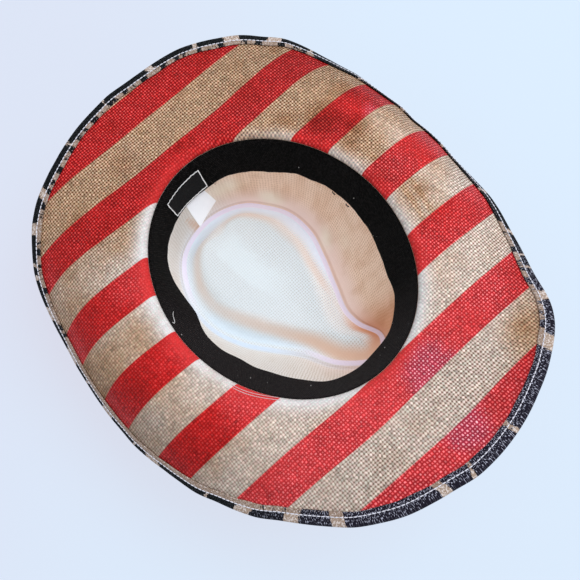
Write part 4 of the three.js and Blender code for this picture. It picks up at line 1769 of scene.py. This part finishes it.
@dataclass
class LooseThreads:
    """Thread ends that stick out at the sweatband and its seam.

    Courses are turns, depths and distances off the band. The seam is turns and runs outward.
    """

    form: HatForm = field(default_factory=HatForm)
    pale: ThreadFinish = ThreadFinish("loose_thread_pale", (0.62, 0.60, 0.58))
    dark: ThreadFinish = ThreadFinish("loose_thread_dark", (0.03, 0.022, 0.018))
    pink: ThreadFinish = ThreadFinish("seam_thread_pink", (0.80, 0.50, 0.50))
    pale_course: Rows = (
        (-111.2, 6.6, 0.9), (-110.4, 5.0, 1.2), (-109.2, 3.4, 1.3), (-107.4, 2.2, 1.4),
        (-105.6, 1.4, 1.2), (-104.6, 0.6, 0.7), (-105.6, 0.0, 0.2))
    dark_course: Rows = (
        (172.6, 24.0, 0.6), (171.8, 28.5, 1.0), (170.6, 33.5, -1.6), (169.6, 38.0, -4.5),
        (168.4, 41.0, -8.0))
    bits: tuple[Rows, ...] = (
        ((105.2, 30.4, 0.4), (104.0, 31.6, 0.6), (103.2, 33.0, 0.0)),
        ((94.4, 31.2, 0.4), (93.2, 32.4, 0.6), (92.0, 33.0, -0.3)))
    seam: Rows = (
        (-65.5, 2.4), (-61.0, 2.6), (-57.0, 2.2), (-53.0, 1.6), (-49.0, 0.9), (-45.5, 0.4))
    seam_radius: float = 0.24

    def build(self) -> list[bpy.types.Object]:
        """Makes the threads.

        Returns:
            The pieces.
        """
        bits = [self.on_band(f"loose_bit_{number}", course, 0.45, self.dark)
                for number, course in enumerate(self.bits, 1)]
        return bits + [self.on_band("loose_thread_pale", self.pale_course, 0.26, self.pale),
                       self.on_band("loose_thread_dark", self.dark_course, 0.13, self.dark),
                       self.along_seam("seam_thread_inner", 0.0),
                       self.along_seam("seam_thread_outer", 1.5)]

    def on_band(self, name: str, course: Rows, radius: float,
                finish: ThreadFinish) -> bpy.types.Object:
        """Lays a thread over the sweatband.

        Args:
            name: The piece's name.
            course: Turn, depth and distance off the band's inner side.
            radius: The thread's half thickness.
            finish: The thread's finish.

        Returns:
            The thread.
        """
        turn, depth, off = soften(np.array(course)).T
        inset = self.form.band_outer_inset(turn, np.minimum(depth, Sweatband.depth + 1))
        line = self.form.inset_point(turn, inset + (Sweatband.thickness + off), depth)
        return seat(thread_mesh(name, line, radius, finish.material()))

    def along_seam(self, name: str, apart: float) -> bpy.types.Object:
        """Lays a thread on the break beside the seam.

        Args:
            name: The piece's name.
            apart: Millimetres further out than the seam.

        Returns:
            The thread.
        """
        turn, run = soften(np.array(self.seam)).T
        turn = turn + apart * 0.6
        share = (run + apart) / (self.form.column("reach", turn) - self.form.opening(turn))
        line = self.form.brim(turn, share) + self.form.out(turn) * -0.15 + UP * 0.2
        return seat(thread_mesh(name, line, self.seam_radius, self.pink.material()))


def soften(course: np.ndarray) -> np.ndarray:
    """Rounds the corners of a course.

    Args:
        course: Its points.

    Returns:
        More points.
    """
    for _ in range(3):
        near, far = course[:-1] * 0.75 + course[1:] * 0.25, course[:-1] * 0.25 + course[1:] * 0.75
        middle = np.stack([near, far], 1).reshape(-1, course.shape[1])
        course = np.concatenate([course[:1], middle, course[-1:]])
    return course


# ---- the studio


@dataclass
class Studio:
    """The floor, the light and the camera."""

    eye: tuple[float, float, float] = (-0.07184, -0.10299, 0.54021)
    right: tuple[float, float, float] = (0.70925, -0.70406, -0.03548)
    up: tuple[float, float, float] = (0.69091, 0.68425, 0.23333)
    back: tuple[float, float, float] = (-0.14, -0.19, 0.97175)
    lens: float = 40.966
    key_way: tuple[float, float, float] = (0.46, -0.16, 0.87)
    key_distance: float = 1.5
    key_watts: float = 14.0
    key_size: float = 0.9
    key_colour: Colour = (0.97, 0.98, 1.0)
    sky: Colour = (0.86, 0.93, 1.0)
    sky_strength: float = 0.80
    floor_half: float = 4.0
    floor_colour: Colour = (0.05, 0.16, 0.20)
    floor_glow: Colour = (0.665, 0.655, 0.745)
    # The lavender glow of the floor's painted shadow.
    floor_glow_shaded: Colour = (0.675, 0.612, 0.695)

    def build(self) -> None:
        """Sets up everything round the hat."""
        self.camera()
        self.floor()
        self.lights()
        bpy.context.scene.view_settings.view_transform = "Standard"

    def camera(self) -> None:
        """Places the camera at the photograph's viewing angle."""
        data = bpy.data.cameras.new("view")
        data.sensor_width = 36.0
        data.lens = self.lens
        data.clip_start = 0.01
        camera = link_object("view", data)
        axes = Matrix((self.right, self.up, self.back)).transposed().to_4x4()
        camera.matrix_world = Matrix.Translation(self.eye) @ axes
        bpy.context.scene.camera = camera

    def floor(self) -> None:
        """Lays the plain pale floor, its glow a little lavender on one side as painted shadow."""
        mesh = bpy.data.meshes.new("floor")
        corners = [(x * self.floor_half, y * self.floor_half, 0)
                   for x, y in ((-1, -1), (1, -1), (1, 1), (-1, 1))]
        mesh.from_pydata(corners, [], [(0, 1, 2, 3)])
        floor = link_object("floor", mesh)
        tree = ShaderTree("floor_paper")
        x, y, _ = tree.split(tree.objects())
        # Toward the side away from the lamp the floor glows a little lavender, a painted shadow.
        left = (y * 0.9 - x * 0.45).step(-0.02, 0.30)
        glow = tree.blend(left, self.floor_glow, self.floor_glow_shaded)
        mesh.materials.append(tree.shade(self.floor_colour, 0.9, Specular_IOR_Level=0.0,
                                         Emission_Color=glow, Emission_Strength=1.0))

    def lights(self) -> None:
        """Hangs a soft light to the right and fills with pale sky."""
        way = Vector(self.key_way).normalized()
        data = bpy.data.lights.new("key", "AREA")
        data.energy, data.size, data.color = self.key_watts, self.key_size, self.key_colour
        lamp = link_object("key", data)
        lamp.location = Vector((0, 0, 0.08)) + way * self.key_distance
        lamp.rotation_mode = "QUATERNION"
        lamp.rotation_quaternion = way.to_track_quat("Z", "Y")
        world = bpy.data.worlds.new("sky")
        world.use_nodes = True
        sky = world.node_tree.nodes["Background"]
        sky.inputs["Color"].default_value = (*self.sky, 1.0)
        sky.inputs["Strength"].default_value = self.sky_strength
        bpy.context.scene.world = world


def main() -> None:
    """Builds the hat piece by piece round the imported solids."""
    logging.basicConfig(level=logging.INFO, format="%(name)s: %(message)s")
    Studio().build()
    form = HatForm()
    StrawShell(form).build()
    RimBinding(form).build()
    Sweatband(form).build()
    Labels(form).build()
    LooseThreads(form).build()


if __name__ == "__main__":
    main()
